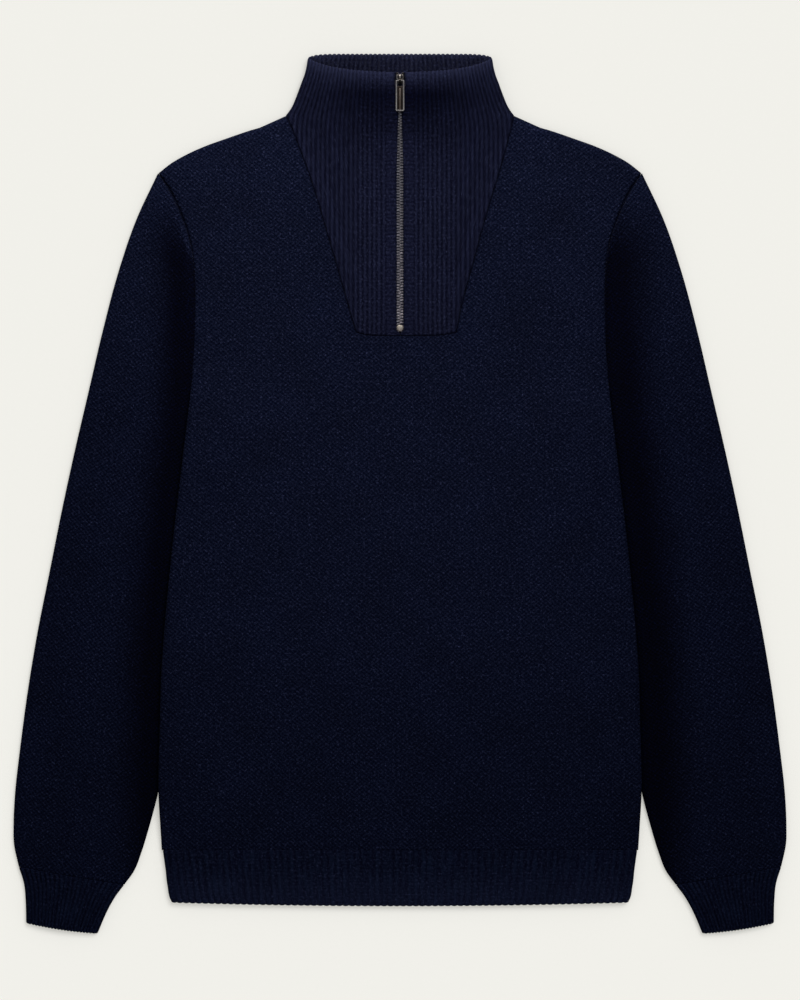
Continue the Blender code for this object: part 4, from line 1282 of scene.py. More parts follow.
@dataclass(frozen=True)
class Sleeves:
    """Both sleeves, as flattened tubes from the cuff seam to the armhole."""

    body: BodyPanels
    shell: float = 1.0
    reach: float = 6.0
    edge_gap: float = 0.4
    length: float = 650.0
    step: float = 3.2
    under_step: float = 9.0
    seam_radius: float = 0.9
    pull_power: float = 6.0
    lean: float = 9.9
    unevenness: float = 0.5
    relief_shift: float = 60.0
    loose_armhole: float = 20.0
    loose_cuff: float = 14.0
    crease_fade: float = 9.0
    cuff_drop: float = 0.12
    cuff_radius: float = 2.2
    sink: float = 0.9
    sink_width: float = 42.0
    sink_reach: Pair = (150.0, 60.0)
    crease_shade: float = 0.1
    armhole_shade: Shade = Shade(0.20, 1.2)
    cuff_shade: Shade = Shade(0.06, 6.0)
    lower_shade: float = 0.13
    lower: Pair = (220.0, 120.0)
    ridge: Pair = (188.0, 50.0)
    ridge_edge: Pair = (-2.5, 3.0)
    beside_top: Pair = (205.0, 70.0)
    # Start, hold, fading width and depth of the shade beside the body
    left_beside: tuple[float, ...] = (7.0, 6.0, 42.0, 0.93)
    right_beside: tuple[float, ...] = (1.0, 14.0, 44.0, 0.88)
    cut: Cut = Cut(272.0, 637.0, 0.78)
    sections: Curve = Curve(
        "share outer_x outer_y inner_x inner_y crown",
        (0.00, 343.4, -335.8, 248.4, -351.9, 2.6),
        (0.03, 347.4, -318.0, 239.8, -340.0, 3.3),
        (0.07, 348.2, -300.0, 233.0, -323.0, 3.6),
        (0.12, 347.0, -272.0, 225.4, -298.0, 3.7),
        (0.19, 342.5, -231.0, 216.2, -262.0, 3.8),
        (0.27, 335.3, -177.0, 206.8, -212.0, 3.8),
        (0.35, 326.3, -123.0, 199.6, -160.0, 3.8),
        (0.43, 315.5, -69.0, 194.6, -110.0, 3.8),
        (0.51, 304.7, -15.0, 191.4, -64.0, 3.8),
        (0.59, 293.0, 39.0, 189.4, -22.0, 3.8),
        (0.67, 280.4, 93.0, 186.6, 14.0, 3.8),
        (0.76, 267.8, 147.0, 184.4, 42.0, 3.7),
        (0.85, 253.4, 201.0, 185.0, 62.0, 3.5),
        (0.93, 237.2, 248.0, 188.4, 77.0, 2.8),
        (1.00, 218.0, 289.0, 188.2, 88.0, 1.4),
    )
    # Troughs and ridges, drawn on the right sleeve; the left one has its own below
    right_creases: Creases = Creases(
        (205.0, 262.0, 196.0, 96.0, 1.9, 11.0, -7.0),
        (232.0, 60.0, 286.0, 22.0, 0.6, 9.0, 6.0),
        (236.0, -30.0, 300.0, -58.0, 0.5, 10.0, -6.0),
        (300.0, -332.0, 288.0, -286.0, 0.7, 6.0, 3.0),
        (322.0, -330.0, 326.0, -296.0, 0.6, 5.0, -2.0),
        (272.0, -338.0, 256.0, -300.0, 0.6, 6.0, 3.0),
    )
    left_creases: Creases = Creases(
        (213.0, 256.0, 206.0, 104.0, 1.7, 9.0, -5.0),
        (197.0, 268.0, 191.0, 150.0, -0.5, 4.0, -3.0),
        (228.0, 72.0, 280.0, 40.0, 0.6, 9.0, 5.0),
        (232.0, -50.0, 306.0, -70.0, 0.5, 11.0, -7.0),
        (308.0, -332.0, 300.0, -280.0, 0.7, 6.0, 2.0),
        (330.0, -328.0, 334.0, -298.0, 0.5, 5.0, -2.0),
        (280.0, -338.0, 262.0, -304.0, 0.6, 6.0, 4.0),
    )

    def rows(self) -> tuple[TubeRows, Array]:
        """Rows of a right sleeve from the cuff seam to the armhole, and their shares."""
        share = spaced(self.length, self.step)
        return TubeRows(self.sections.points("outer_x outer_y", share),
                        self.sections.points("inner_x inner_y", share),
                        self.sections.level("crown", share), self.body.wall, self.reach,
                        self.edge_gap), share

    def bent(self, points: Array, across: Array, along: Array) -> Array:
        """Draw the rows near the armhole into its curve.

        Args:
            points: Points of a sheet of the sleeve.
            across: Share of the way across of each.
            along: Share of the way to the armhole of each row.

        Returns:
            The moved points.
        """
        seam_y = blend(self.body.shoulder_tip, self.body.underarm, across)
        tip = self.body.half_width(self.body.shoulder_tip)
        pit = self.body.half_width(self.body.underarm)
        inward = self.body.half_width(seam_y) - blend(tip, pit, across)
        points = points.copy()
        points[:, :, 0] += along[:, None] ** self.pull_power * inward
        return points

    def shade_beside_body(self, side: Side, x: Array, y: Array) -> Array:
        """Painted shade on the sleeve where it runs beside and under the body, and lower down.

        Args:
            side: Which sleeve.
            x: Distances from the middle.
            y: Heights on the sheet.

        Returns:
            Values from 0 to 1.
        """
        start, hold, width, top = self.left_beside if side is Side.LEFT else self.right_beside
        upper = rising(y, *self.ridge)
        beside = x - self.body.half_width(y) - start * upper
        past = 1.0 - rising(beside, hold, width)
        edge = rising(beside, *self.ridge_edge)
        fade = 1.0 - rising(y, *self.beside_top)
        lower = self.lower_shade * falling(y, *self.lower)
        return top * past * blend(1.0, edge, upper) * fade + lower

    def sheet(self, side: Side) -> Cloth:
        """Outer face of one sleeve, all round.

        Args:
            side: Which sleeve.

        Returns:
            The sleeve's cloth.
        """
        tube, along = self.rows()
        wide = float(np.linalg.norm(tube.end - tube.start, axis=1).mean())
        top_shares, low_shares = (np.linspace(0.0, 1.0, round(wide / step))
                                  for step in (self.step, self.under_step))
        top, share, _, rises = tube.ring_part(Layer.UPPER, True, top_shares)
        low, low_share, _, _ = tube.ring_part(Layer.LOWER, True, low_shares)
        top = self.bent(top, share, along)
        low = self.bent(low, low_share, along)
        x, y = top[:, :, 0], top[:, :, 1]
        from_armhole = (1.0 - along[:, None]) * self.length + 0.0 * x
        from_cuff = along[:, None] * self.length + 0.0 * x
        creases = self.left_creases if side is Side.LEFT else self.right_creases
        troughs = creases.drop(x, y)
        loose = rises * ease(from_armhole / self.loose_armhole) * ease(from_cuff / self.loose_cuff)
        drop = (rounded_drop(from_armhole, self.seam_radius)
                + self.cuff_drop * rounded_drop(from_cuff, self.cuff_radius))
        beside = 1.0 - ease((x - self.body.half_width(y)) / self.sink_width)
        sink = self.sink * beside * falling(y, *self.sink_reach)
        uneven = relief(x + self.relief_shift, side.value * y, self.unevenness) * loose
        top[:, :, 2] += (uneven - troughs * rises * ease(from_armhole / self.crease_fade)
                         - drop * rises - sink * rises)
        # Painted shade at the armhole, the cuff, beside the body and in the creases
        painted_shade = (self.armhole_shade.at(from_armhole) + self.cuff_shade.at(from_cuff)
                  + self.shade_beside_body(side, x, y) + self.crease_shade * troughs)
        points = np.concatenate([top, low[:, -2:0:-1], top[:, :1]], axis=1)
        turn = math.radians(self.lean)
        pattern = np.stack([points[:, :, 0] * math.cos(turn) + points[:, :, 1] * math.sin(turn),
                            points[:, :, 1] * math.cos(turn) - points[:, :, 0] * math.sin(turn)], axis=2)
        shade_low = np.zeros((len(along), points.shape[1] - top.shape[1]))
        painted_shade = np.concatenate([painted_shade, shade_low], axis=1)
        none = np.zeros(painted_shade.shape)
        cloth = Cloth(points, pattern, painted_shade, none, none)
        edge = points[-1]
        centre = np.array([*(tube.start[-1] + tube.end[-1]) / 2.0, 0.0])
        shrink = (centre - edge) / np.linalg.norm(tube.start[-1] - tube.end[-1]) * 2.0
        level = (self.body.sections.level("lift", edge[:, 1]) + self.body.wall
                 + self.body.sections.level("side_gap", edge[:, 1]) / 2.0)
        cloth = cloth.widened(Tuck().rows(edge, np.array([-1.0, 0.0, 0.0]), level, shrink), False)
        cloth.points[:, :, 0] *= side.value
        return cloth if side is Side.LEFT else cloth.turned()

    def make(self, material: Material) -> None:
        """Make both sleeves."""
        for side in Side:
            piece = knit(f"sleeve_tube_{side.label}", self.sheet(side), self.shell, weld=True)
            dress(piece, material, (f"sleeve_{side.label}",))
            self.cut.declare(piece, ())


@dataclass(frozen=True)
class RibbedBand:
    """What the cuffs and the hem bands share."""

    wall: float = 2.8
    shell: float = 0.8
    reach: float = 5.0
    rib_cells: int = 6
    rib_height: float = 0.45
    valley_share: float = 0.8
    length: float = 50.0
    seam_radius: float = 1.2
    seam_turn: float = 0.15
    inside_rows: int = 4

    def shares(self, step: float) -> Array:
        """Shares of the way from the seam to the free edge, for rows a step apart."""
        return spaced(self.length, step) * (1.0 - self.wall / 2.0 / self.length)

    def ribs_rise(self, layer: Layer, place: Array, rises: Array) -> Array:
        """How far the ribs lift the outer face; they stand up on both sheets."""
        wave = ridge_wave(place) * rises
        return self.rib_height * (wave if layer is Layer.UPPER else (1.0 - wave) * self.valley_share * rises)

    def wrapped(self, along: Array, outer: Array, inner: Array, outward: Array, place: Array) -> Array:
        """Points from the seam over the outer face, round the free edge and a little way inside.

        Args:
            along: Shares of the way from the seam to the free edge.
            outer: Points of the outer face.
            inner: Points of the inner face.
            outward: Direction, of length 1, in which the free edge bulges.
            place: Place in ribs of each column.

        Returns:
            The band's points.
        """
        drop = rounded_drop(along * self.length, self.seam_radius)
        share = self.seam_turn * drop / self.wall
        middle = (outer[:, :, 2] + inner[:, :, 2]) / 2.0
        outer[:, :, 2] = blend(outer[:, :, 2], middle, share[:, None])
        lip = ribbed_lip(outer[-1], inner[-1], outward, ridge_wave(place))
        return np.concatenate([outer, lip, inner[::-1][:self.inside_rows]])


@dataclass(frozen=True)
class Cuffs(RibbedBand):
    """Both ribbed cuffs, as flattened tubes from their seam to their free edge."""

    edge_gap: float = 0.4
    crown: float = 2.2
    bow: float = 1.2
    ribs: int = 19
    pitch: float = 4.4
    step: float = 2.2
    seam_shade: Shade = Shade(0.06, 7.0)
    middle_column: int = 20
    cut: Cut = Cut(178.0, 52.0, 0.98)
    sections: Curve = Curve(
        "share outer_x outer_y inner_x inner_y",
        (0.00, 343.2, -336.5, 248.9, -352.6),
        (0.30, 338.9, -350.5, 256.4, -362.6),
        (0.65, 337.2, -367.5, 264.4, -377.0),
        (1.00, 336.8, -386.6, 272.6, -396.2),
    )

    def ring(self, outer: bool, along: Array) -> tuple[Array, Array]:
        """Rings of points on one face of a right cuff.

        Args:
            outer: Whether the points lie on the outer face.
            along: Shares of the way from the seam to the free edge.

        Returns:
            Points and the place in ribs of each column.
        """
        tube = TubeRows(self.sections.points("outer_x outer_y", along),
                        self.sections.points("inner_x inner_y", along),
                        self.crown + 0.0 * along, self.wall, self.reach, self.edge_gap)
        flat, place = rib_columns(self.ribs, self.rib_cells, self.reach, self.pitch)
        parts = []
        for layer in Layer:
            points, share, _, rises = tube.ring_part(layer, outer, flat)
            points = points.copy()
            points[:, :, 1] -= self.bow * along[:, None] * 4.0 * share * (1.0 - share)
            if outer:
                points[:, :, 2] += self.ribs_rise(layer, place, rises)
            parts.append(points if layer is Layer.UPPER else points[:, -2:0:-1])
        places = np.concatenate([place, 2.0 * place[-1] - place[-2:0:-1], [2.0 * place[-1] - place[0]]])
        return np.concatenate([*parts, parts[0][:, :1]], axis=1), places

    def sheet(self, side: Side) -> Cloth:
        """Outer face of one cuff, round its free edge and a little way inside.

        Args:
            side: Which cuff.

        Returns:
            The cuff's cloth.
        """
        along = self.shares(self.step)
        outer, places = self.ring(True, along)
        inner, _ = self.ring(False, along)
        outward = level_direction(outer[-1] - outer[-4])
        points = self.wrapped(along, outer, inner, outward, places)
        run, pattern = rib_pattern(points, len(FOLD_STEPS) + self.middle_column, places, self.pitch)
        none = np.zeros(points.shape[:2])
        cloth = Cloth(points, pattern, self.seam_shade.at(run)[:, None] + none, none, none)
        edge = points[0]
        centre = (edge.min(axis=0) + edge.max(axis=0)) / 2.0
        shrink = (centre - edge) / (np.ptp(edge[:, 0]) / 2.0)
        ahead = level_direction(edge - points[1])
        cloth = cloth.widened(Tuck().rows(edge, ahead, centre[2], shrink), True)
        cloth.points[:, :, 0] *= side.value
        return cloth.turned() if side is Side.LEFT else cloth

    def make(self, material: Material) -> None:
        """Make both cuffs."""
        for side in Side:
            piece = knit(f"cuff_tube_{side.label}", self.sheet(side), self.shell, weld=True)
            dress(piece, material, (f"cuff_{side.label}",))
            self.cut.declare(piece, ())


@dataclass(frozen=True)
class HemBands(RibbedBand):
    """Ribbed bands at the foot of the front and the back."""

    pitch: float = 6.0
    step: float = 2.4
    seam_shade: Shade = Shade(0.06, 9.0)
    fuzz: float = 0.30
    fuzz_reach: Pair = (8.0, 42.0)
    cut: Cut = Cut(436.0, 52.0, 0.99)
    sections: Curve = Curve(
        "share y half_width gap bow",
        (0.00, -321.2, 213.6, 1.6, 0.0),
        (0.40, -339.0, 211.2, 1.8, 0.5),
        (0.75, -355.0, 209.4, 2.0, 1.8),
        (0.95, -368.2, 206.8, 2.2, 3.0),
        (1.00, -371.0, 205.2, 2.2, 3.4),
    )

    def face(self, layer: Layer, outer: bool, along: Array) -> tuple[Array, Array]:
        """Points on one face of the front or back band, from left to right.

        Args:
            layer: UPPER for the front and LOWER for the back.
            outer: Whether the points lie on the outer face.
            along: Shares of the way from the seam to the free edge.

        Returns:
            Points and the place in ribs of each column.
        """
        width = self.sections.smooth("half_width", along)[:, None]
        gap = self.sections.level("gap", along)[:, None]
        widest = self.sections.columns["half_width"][0]
        ribs = round((2.0 * widest - 2.0 * self.reach) / self.pitch)
        flat, place = rib_columns(ribs, self.rib_cells, self.reach, self.pitch)
        inset = 0.0 if outer else self.wall
        distances, rises = folded_columns(2.0 * width, self.reach, inset, flat)
        x = distances - width
        bow = self.sections.smooth("bow", along)[:, None] * (x / width) ** 2
        y = self.sections.smooth("y", along)[:, None] + bow
        z = self.wall + gap / 2.0 + layer.value * (gap / 2.0 + (self.wall if outer else 0.0)) * rises
        if outer:
            z = z + self.ribs_rise(layer, place, rises)
        return np.stack([x, y, z], axis=2), place

    def sheet(self, layer: Layer) -> Cloth:
        """One band's outer face, round its free edge and a little way inside.

        Args:
            layer: UPPER for the front and LOWER for the back.

        Returns:
            The band's cloth.
        """
        along = self.shares(self.step)
        outer, place = self.face(layer, True, along)
        inner, _ = self.face(layer, False, along)
        points = self.wrapped(along, outer, inner, -TO_COLLAR, place)
        run, pattern = rib_pattern(points, len(place) // 2, place, self.pitch)
        none = np.zeros(points.shape[:2])
        nap_and_highlight = none + self.fuzz * rising(run, *self.fuzz_reach)[:, None]
        cloth = Cloth(points, pattern, self.seam_shade.at(run)[:, None] + none, none, nap_and_highlight)
        edge = points[0]
        level = self.wall + self.sections.columns["gap"][0] / 2.0
        cloth = cloth.widened(Tuck().rows(edge, TO_COLLAR, level, towards_middle(edge)), True)
        return cloth.turned() if layer is Layer.UPPER else cloth

    def make(self, material: Material) -> None:
        """Make both bands."""
        back = knit("hem_band_back", self.sheet(Layer.LOWER), self.shell)
        dress(back, material, ("hem_back",))
        front = knit("hem_band_front", self.sheet(Layer.UPPER), self.shell)
        dress(front, material, ("hem_front",))
        self.cut.declare(back, ())
        self.cut.declare(front, (back.name,))


@dataclass(frozen=True)
class NeckForm:
    """Heights and outline that the insert, the collar and the zip share."""

    body: BodyPanels
    collar_wall: float = 3.8
    reach: float = 6.0
    seam_gap: float = 0.45
    crown_share: float = 0.30
    crown_fall: float = 0.6
    back_top: float = 396.2
    tape_start: float = 3.7
    above_tape: float = 0.15
    outline: Curve = Curve(
        "y half_width",
        (340.5, 103.0),
        (345.0, 99.6),
        (350.0, 96.6),
        (356.0, 94.1),
        (363.0, 91.4),
        (370.5, 88.7),
        (378.0, 85.9),
        (385.0, 84.2),
        (391.0, 83.2),
        (396.2, 81.8),
    )
    layers: Curve = Curve(
        "y below zip_gap crown_gap side_gap wall",
        (144.0, 2.6, 1.9, 3.3, 3.3, 2.6),
        (200.0, 2.6, 2.1, 3.4, 3.3, 2.6),
        (280.0, 2.6, 2.1, 3.0, 2.6, 2.6),
        (318.0, 3.2, 2.0, 2.3, 1.5, 2.8),
        (340.0, 3.8, 2.0, 2.1, 1.2, 3.3),
        (352.0, 3.8, 2.0, 2.3, 1.2, 3.7),
        (366.0, 3.8, 2.2, 3.3, 1.3, 3.8),
        (376.0, 3.8, 2.4, 3.7, 1.4, 3.8),
        (396.0, 3.8, 2.4, 3.7, 1.5, 3.8),
    )

    def half_width(self, y: Array) -> Array:
        """Half of the collar's width."""
        return self.outline.smooth("half_width", y)

    def gap(self, y: Array, share: Array) -> Array:
        """Space between the layers: low beside the zip, highest further out, low at the side.

        Args:
            y: Heights on the sheet.
            share: Share of the way out from the zip.

        Returns:
            The space in millimetres.
        """
        crown = self.layers.level("crown_gap", y)
        inner = blend(self.layers.level("zip_gap", y), crown, ease(share / self.crown_share))
        past = rising(share, self.crown_share, self.crown_fall)
        outer = blend(crown, self.layers.level("side_gap", y), past)
        return np.where(share < self.crown_share, inner, outer)

    def tape_line(self, y: Array) -> Array:
        """Height of the cloth's underside beside the zip, on which the teeth lie."""
        return self.layers.level("below", y) + self.layers.level("zip_gap", y)

    def metal_line(self, y: Array, thickness: float) -> Array:
        """Height of the middle of metal of some thickness that lies on the tape."""
        return self.tape_line(y) + self.above_tape + thickness / 2.0


@dataclass(frozen=True)
class Placket:
    """Ribbed insert and front of the collar, in two halves beside the zip."""

    neck: NeckForm
    shell: float = 0.8
    plain_strip: float = 12.5
    pitch: float = 4.3
    rib_cells: int = 6
    rib_height: float = 0.44
    rows_step: float = 2.4
    lip_gap: float = 0.3
    seam_radius: float = 0.9
    inside_rows: int = 5
    chain_top: float = 2.05
    chain_gap: float = 0.15
    chain_reach: Pair = (3.2, 5.0)
    strip_edge: Pair = (-1.0, 1.2)
    edge_share: float = 0.08
    lean_power: float = 1.5
    hollow_y: float = 358.0
    hollow_reach: Pair = (10.0, 45.0)
    hollow_side: Pair = (10.0, 120.0)
    dip_side: Pair = (18.0, 60.0)
    hollow_depth: float = 0.9
    hollow_shade: Pair = (0.80, 0.88)
    unevenness: float = 0.3
    waves: Pair = (1.7, 1.4)
    loose: Pair = (6.0, 20.0)
    edge_shade: float = 0.3
    collar_shade: float = 0.12
    collar_fade: float = 24.0
    seam_shade: Shade = Shade(0.38, 1.1)
    lip_nap_and_highlight: Shade = Shade(0.62, 6.0)
    lip_step: float = 0.7
    edge_angles: tuple[float, ...] = (120.0, 90.0, 60.0, 30.0)
    edge_step: float = 0.6
    lean_start: float = 322.0
    lean_edge: float = 6.0
    left_cut: Cut = Cut(116.0, 262.0, 0.66)
    right_cut: Cut = Cut(116.0, 262.0, 0.70)
    top_edge: Curve = Curve(
        "share y",
        (0.00, 379.7),
        (0.32, 381.0),
        (0.60, 383.6),
        (0.83, 387.6),
        (0.93, 390.4),
        (1.00, 392.6),
    )
    # Half of the opening that shows between the two edges, and how round they are
    opening: Curve = Curve(
        "y half_width radius",
        (142.0, 0.15, 0.5),
        (145.8, 0.15, 0.5),
        (147.2, 3.1, 1.1),
        (282.0, 2.9, 1.0),
        (297.0, 2.8, 0.8),
        (313.0, 2.4, 0.6),
        (327.0, 1.9, 0.6),
        (340.0, 1.6, 0.6),
        (353.0, 1.6, 0.6),
        (362.0, 3.0, 0.9),
        (368.0, 4.7, 1.3),
        (380.0, 4.7, 1.5),
    )

    def columns(self) -> tuple[Array, Array, Array, Array]:
        """Columns across one half at its widest.

        Returns:
            Places from the middle, rises, places in ribs and how plain each column is.
        """
        widest = float(self.neck.half_width(self.neck.body.neck_corner))
        ribbed = widest - self.neck.reach - self.plain_strip
        ribs = round(ribbed / self.pitch)
        plain = np.linspace(self.neck.tape_start, self.plain_strip, 9)
        rib = np.linspace(self.plain_strip, widest - self.neck.reach, ribs * self.rib_cells + 1)
        fold = widest - self.neck.reach * FOLD_STEPS[-2::-1]
        place = np.concatenate([plain, rib[1:], fold])
        rises = np.concatenate([np.ones(len(plain) + len(rib) - 1), FOLD_RISES[-2::-1]])
        in_ribs = (place - self.plain_strip) * ribs / ribbed
        plainness = 1.0 - rising(place - self.plain_strip, *self.strip_edge)
        return place, rises, in_ribs, plainness

    def foot(self, side: Side, place: Array) -> Array:
        """Height where a rib begins, at the insert's seam.

        Args:
            side: Which half.
            place: Distances from the middle.

        Returns:
            Heights on the sheet.
        """
        body = self.neck.body
        heights = np.linspace(body.insert_foot, body.neck_corner, 120)
        seam = body.seam_x(side, heights) - self.neck.seam_gap
        height = np.interp(place, seam, heights, left=body.insert_foot)
        return height + self.neck.seam_gap - body.sag(side.value * place, height)

    def dip_share(self, y: Array) -> Array:
        """Share of the dip beside the slider, in depth and in painted shade, that the cloth has at a height
        on the sheet.
        """
        above = y - self.hollow_y
        return np.exp(-((above / np.where(above > 0.0, *self.hollow_reach)) ** 2))

    def grid(self, side: Side, outer: bool, rows: Array) -> tuple[Array, Array]:
        """Points on one face of a half, from its foot to its top.

        Args:
            side: Which half.
            outer: Whether the points lie on the outer face.
            rows: Shares of the way from the foot to the top.

        Returns:
            Points, and the height where each column begins.
        """
        neck = self.neck
        place, rises, in_ribs, plainness = self.columns()
        widest = place[-1]
        share = (place - place[0]) / (widest - place[0])
        if not outer:
            place = np.where(rises < 1.0, widest - (neck.collar_wall + (widest - place)
                                                    * (1.0 - neck.collar_wall / neck.reach)), place)
        top = self.top_edge.smooth("y", share) - self.lip_gap - neck.collar_wall / 2.0
        foot = self.foot(side, self.columns()[0])
        y = foot[None, :] + (top - foot)[None, :] * rows[:, None]
        rise = rising(y, self.lean_start, neck.back_top - self.lean_start)
        outward = np.maximum(place - self.plain_strip, 0.0) / (widest - self.plain_strip)
        gentle = rise * (widest - float(neck.half_width(neck.back_top)))
        lean = blend(gentle, widest - neck.half_width(y), outward**self.lean_edge)
        x = place - lean * outward**self.lean_power
        radius = self.opening.level("radius", y)
        edge = self.opening.level("half_width", y) + (radius if outer else 0.0)
        x = x + (edge - place[0]) * (1.0 - ease(share[None, :] / self.edge_share))
        gap = neck.gap(y, share[None, :] + 0.0 * y)
        wall = neck.layers.level("wall", y)
        below = neck.layers.level("below", y)
        z = below + gap / 2.0 + (gap / 2.0 + (wall if outer else 0.0)) * rises[None, :]
        if outer:
            wave = ridge_wave(in_ribs) * (1.0 - plainness) * rises
            z = z + self.rib_height * wave[None, :]
            dip = self.hollow_depth * self.dip_share(y)
            z = z - dip * (1.0 - rising(x, *self.dip_side)) * rises[None, :]
            uneven = relief(x * side.value * self.waves[0], y * self.waves[1], self.unevenness)
            z = z + uneven * rises[None, :] * rising(x, *self.loose)
            clear = neck.tape_line(y) + self.chain_top + 2.0 * radius + self.chain_gap
            z = z + np.maximum(clear - z, 0.0) * (1.0 - rising(x, *self.chain_reach))
        return np.stack([side.value * x, y, z], axis=2), foot

    def sheet(self, side: Side) -> Cloth:
        """One half's outer face with its rounded zip edge, its lip and a little way inside.

        Args:
            side: Which half.

        Returns:
            The half's cloth.
        """
        body = self.neck.body
        rows = spaced(self.top_edge.columns["y"][0] - body.insert_foot, self.rows_step)
        outer, foot = self.grid(side, True, rows)
        inner, _ = self.grid(side, False, rows[-self.inside_rows:])
        place, rises, in_ribs, plainness = self.columns()
        slope = np.gradient(foot, place)
        normal = np.stack([side.value * slope, -np.ones(len(slope)), 0.0 * slope], axis=1)
        normal /= np.linalg.norm(normal, axis=1, keepdims=True)
        from_seam = (outer[:, :, 1] - foot[None, :]) * -normal[:, 1][None, :]
        outer[:, :, 2] -= rounded_drop(from_seam, self.seam_radius) * rises[None, :]
        wave = ridge_wave(in_ribs) * (1.0 - plainness)
        lip = ribbed_lip(outer[-1], inner[-1], TO_COLLAR, wave)
        flat = np.concatenate([outer, lip, inner[::-1]])
        run = flat[:, :, 1] - foot[None, :]
        turned = np.arange(len(flat)) >= len(outer)
        run[turned] = run[len(outer) - 1] + np.cumsum(np.full((turned.sum(), 1), self.lip_step), axis=0)
        seam = self.seam_shade.at(from_seam)
        seam = np.concatenate([seam, np.zeros((turned.sum(), seam.shape[1]))])
        # Pale fuzz along the lip, with a painted highlight
        nap_and_highlight = self.lip_nap_and_highlight.at(outer[-1, :, 1][None, :] - flat[:, :, 1])
        points = self.zip_edge(side, flat)
        extra = len(self.edge_angles)
        run, seam, nap_and_highlight = (np.concatenate([np.repeat(values[:, :1], extra, axis=1), values], axis=1)
                          for values in (run, seam, nap_and_highlight))
        across = in_ribs * self.pitch
        added = across[0] - self.edge_step * np.arange(extra, 0, -1)
        pattern = np.stack(np.broadcast_arrays(np.concatenate([added, across]), run), axis=2)
        plain = np.concatenate([np.ones(extra), plainness])[None, :] + 0.0 * seam
        # Painted shade in the dip beside the slider, stronger on the right, along the zip's edge and above
        # the neck corner
        painted_shade = self.hollow_shade[side is Side.RIGHT] * self.dip_share(points[:, :, 1])
        painted_shade *= 1.0 - rising(np.abs(points[:, :, 0]), *self.hollow_side)
        painted_shade[:, :extra + 1] += self.edge_shade
        painted_shade += self.collar_shade * rising(points[:, :, 1], body.neck_corner, self.collar_fade)
        cloth = Cloth(points, pattern, seam + painted_shade, plain, nap_and_highlight)
        edge = points[0]
        ahead = np.concatenate([np.repeat(normal[:1], extra, axis=0), normal])
        inside = np.concatenate([np.ones(extra), rises])
        shrink = np.stack([0.0 * inside, inside - 1.0, 0.0 * inside], axis=1)
        level = (self.neck.layers.level("below", edge[:, 1])
                 + self.neck.layers.level("crown_gap", edge[:, 1]) / 2.0)
        cloth = cloth.widened(Tuck().rows(edge, ahead, level, shrink), True)
        return cloth if side is Side.RIGHT else cloth.turned()

    def zip_edge(self, side: Side, flat: Array) -> Array:
        """Points with columns before them that round the edge beside the zip down to the tape.

        Args:
            side: Which half.
            flat: Points of the half, from the zip outward.

        Returns:
            All the points.
        """
        radius = self.opening.level("radius", flat[:, 0, 1])
        columns = []
        for angle in np.radians(self.edge_angles):
            column = flat[:, 0].copy()
            column[:, 0] -= side.value * radius * math.sin(angle)
            column[:, 2] -= radius * (1.0 - math.cos(angle))
            columns.append(column)
        return np.concatenate([np.stack(columns, axis=1), flat], axis=1)

    def make(self, material: Material) -> None:
        """Make both halves."""
        for side, cut in ((Side.LEFT, self.left_cut), (Side.RIGHT, self.right_cut)):
            piece = knit(f"placket_{side.label}", self.sheet(side), self.shell)
            dress(piece, material, (f"collar_front_{side.label}",))
            cut.declare(piece, ("back_panel", "collar_back_rib"))


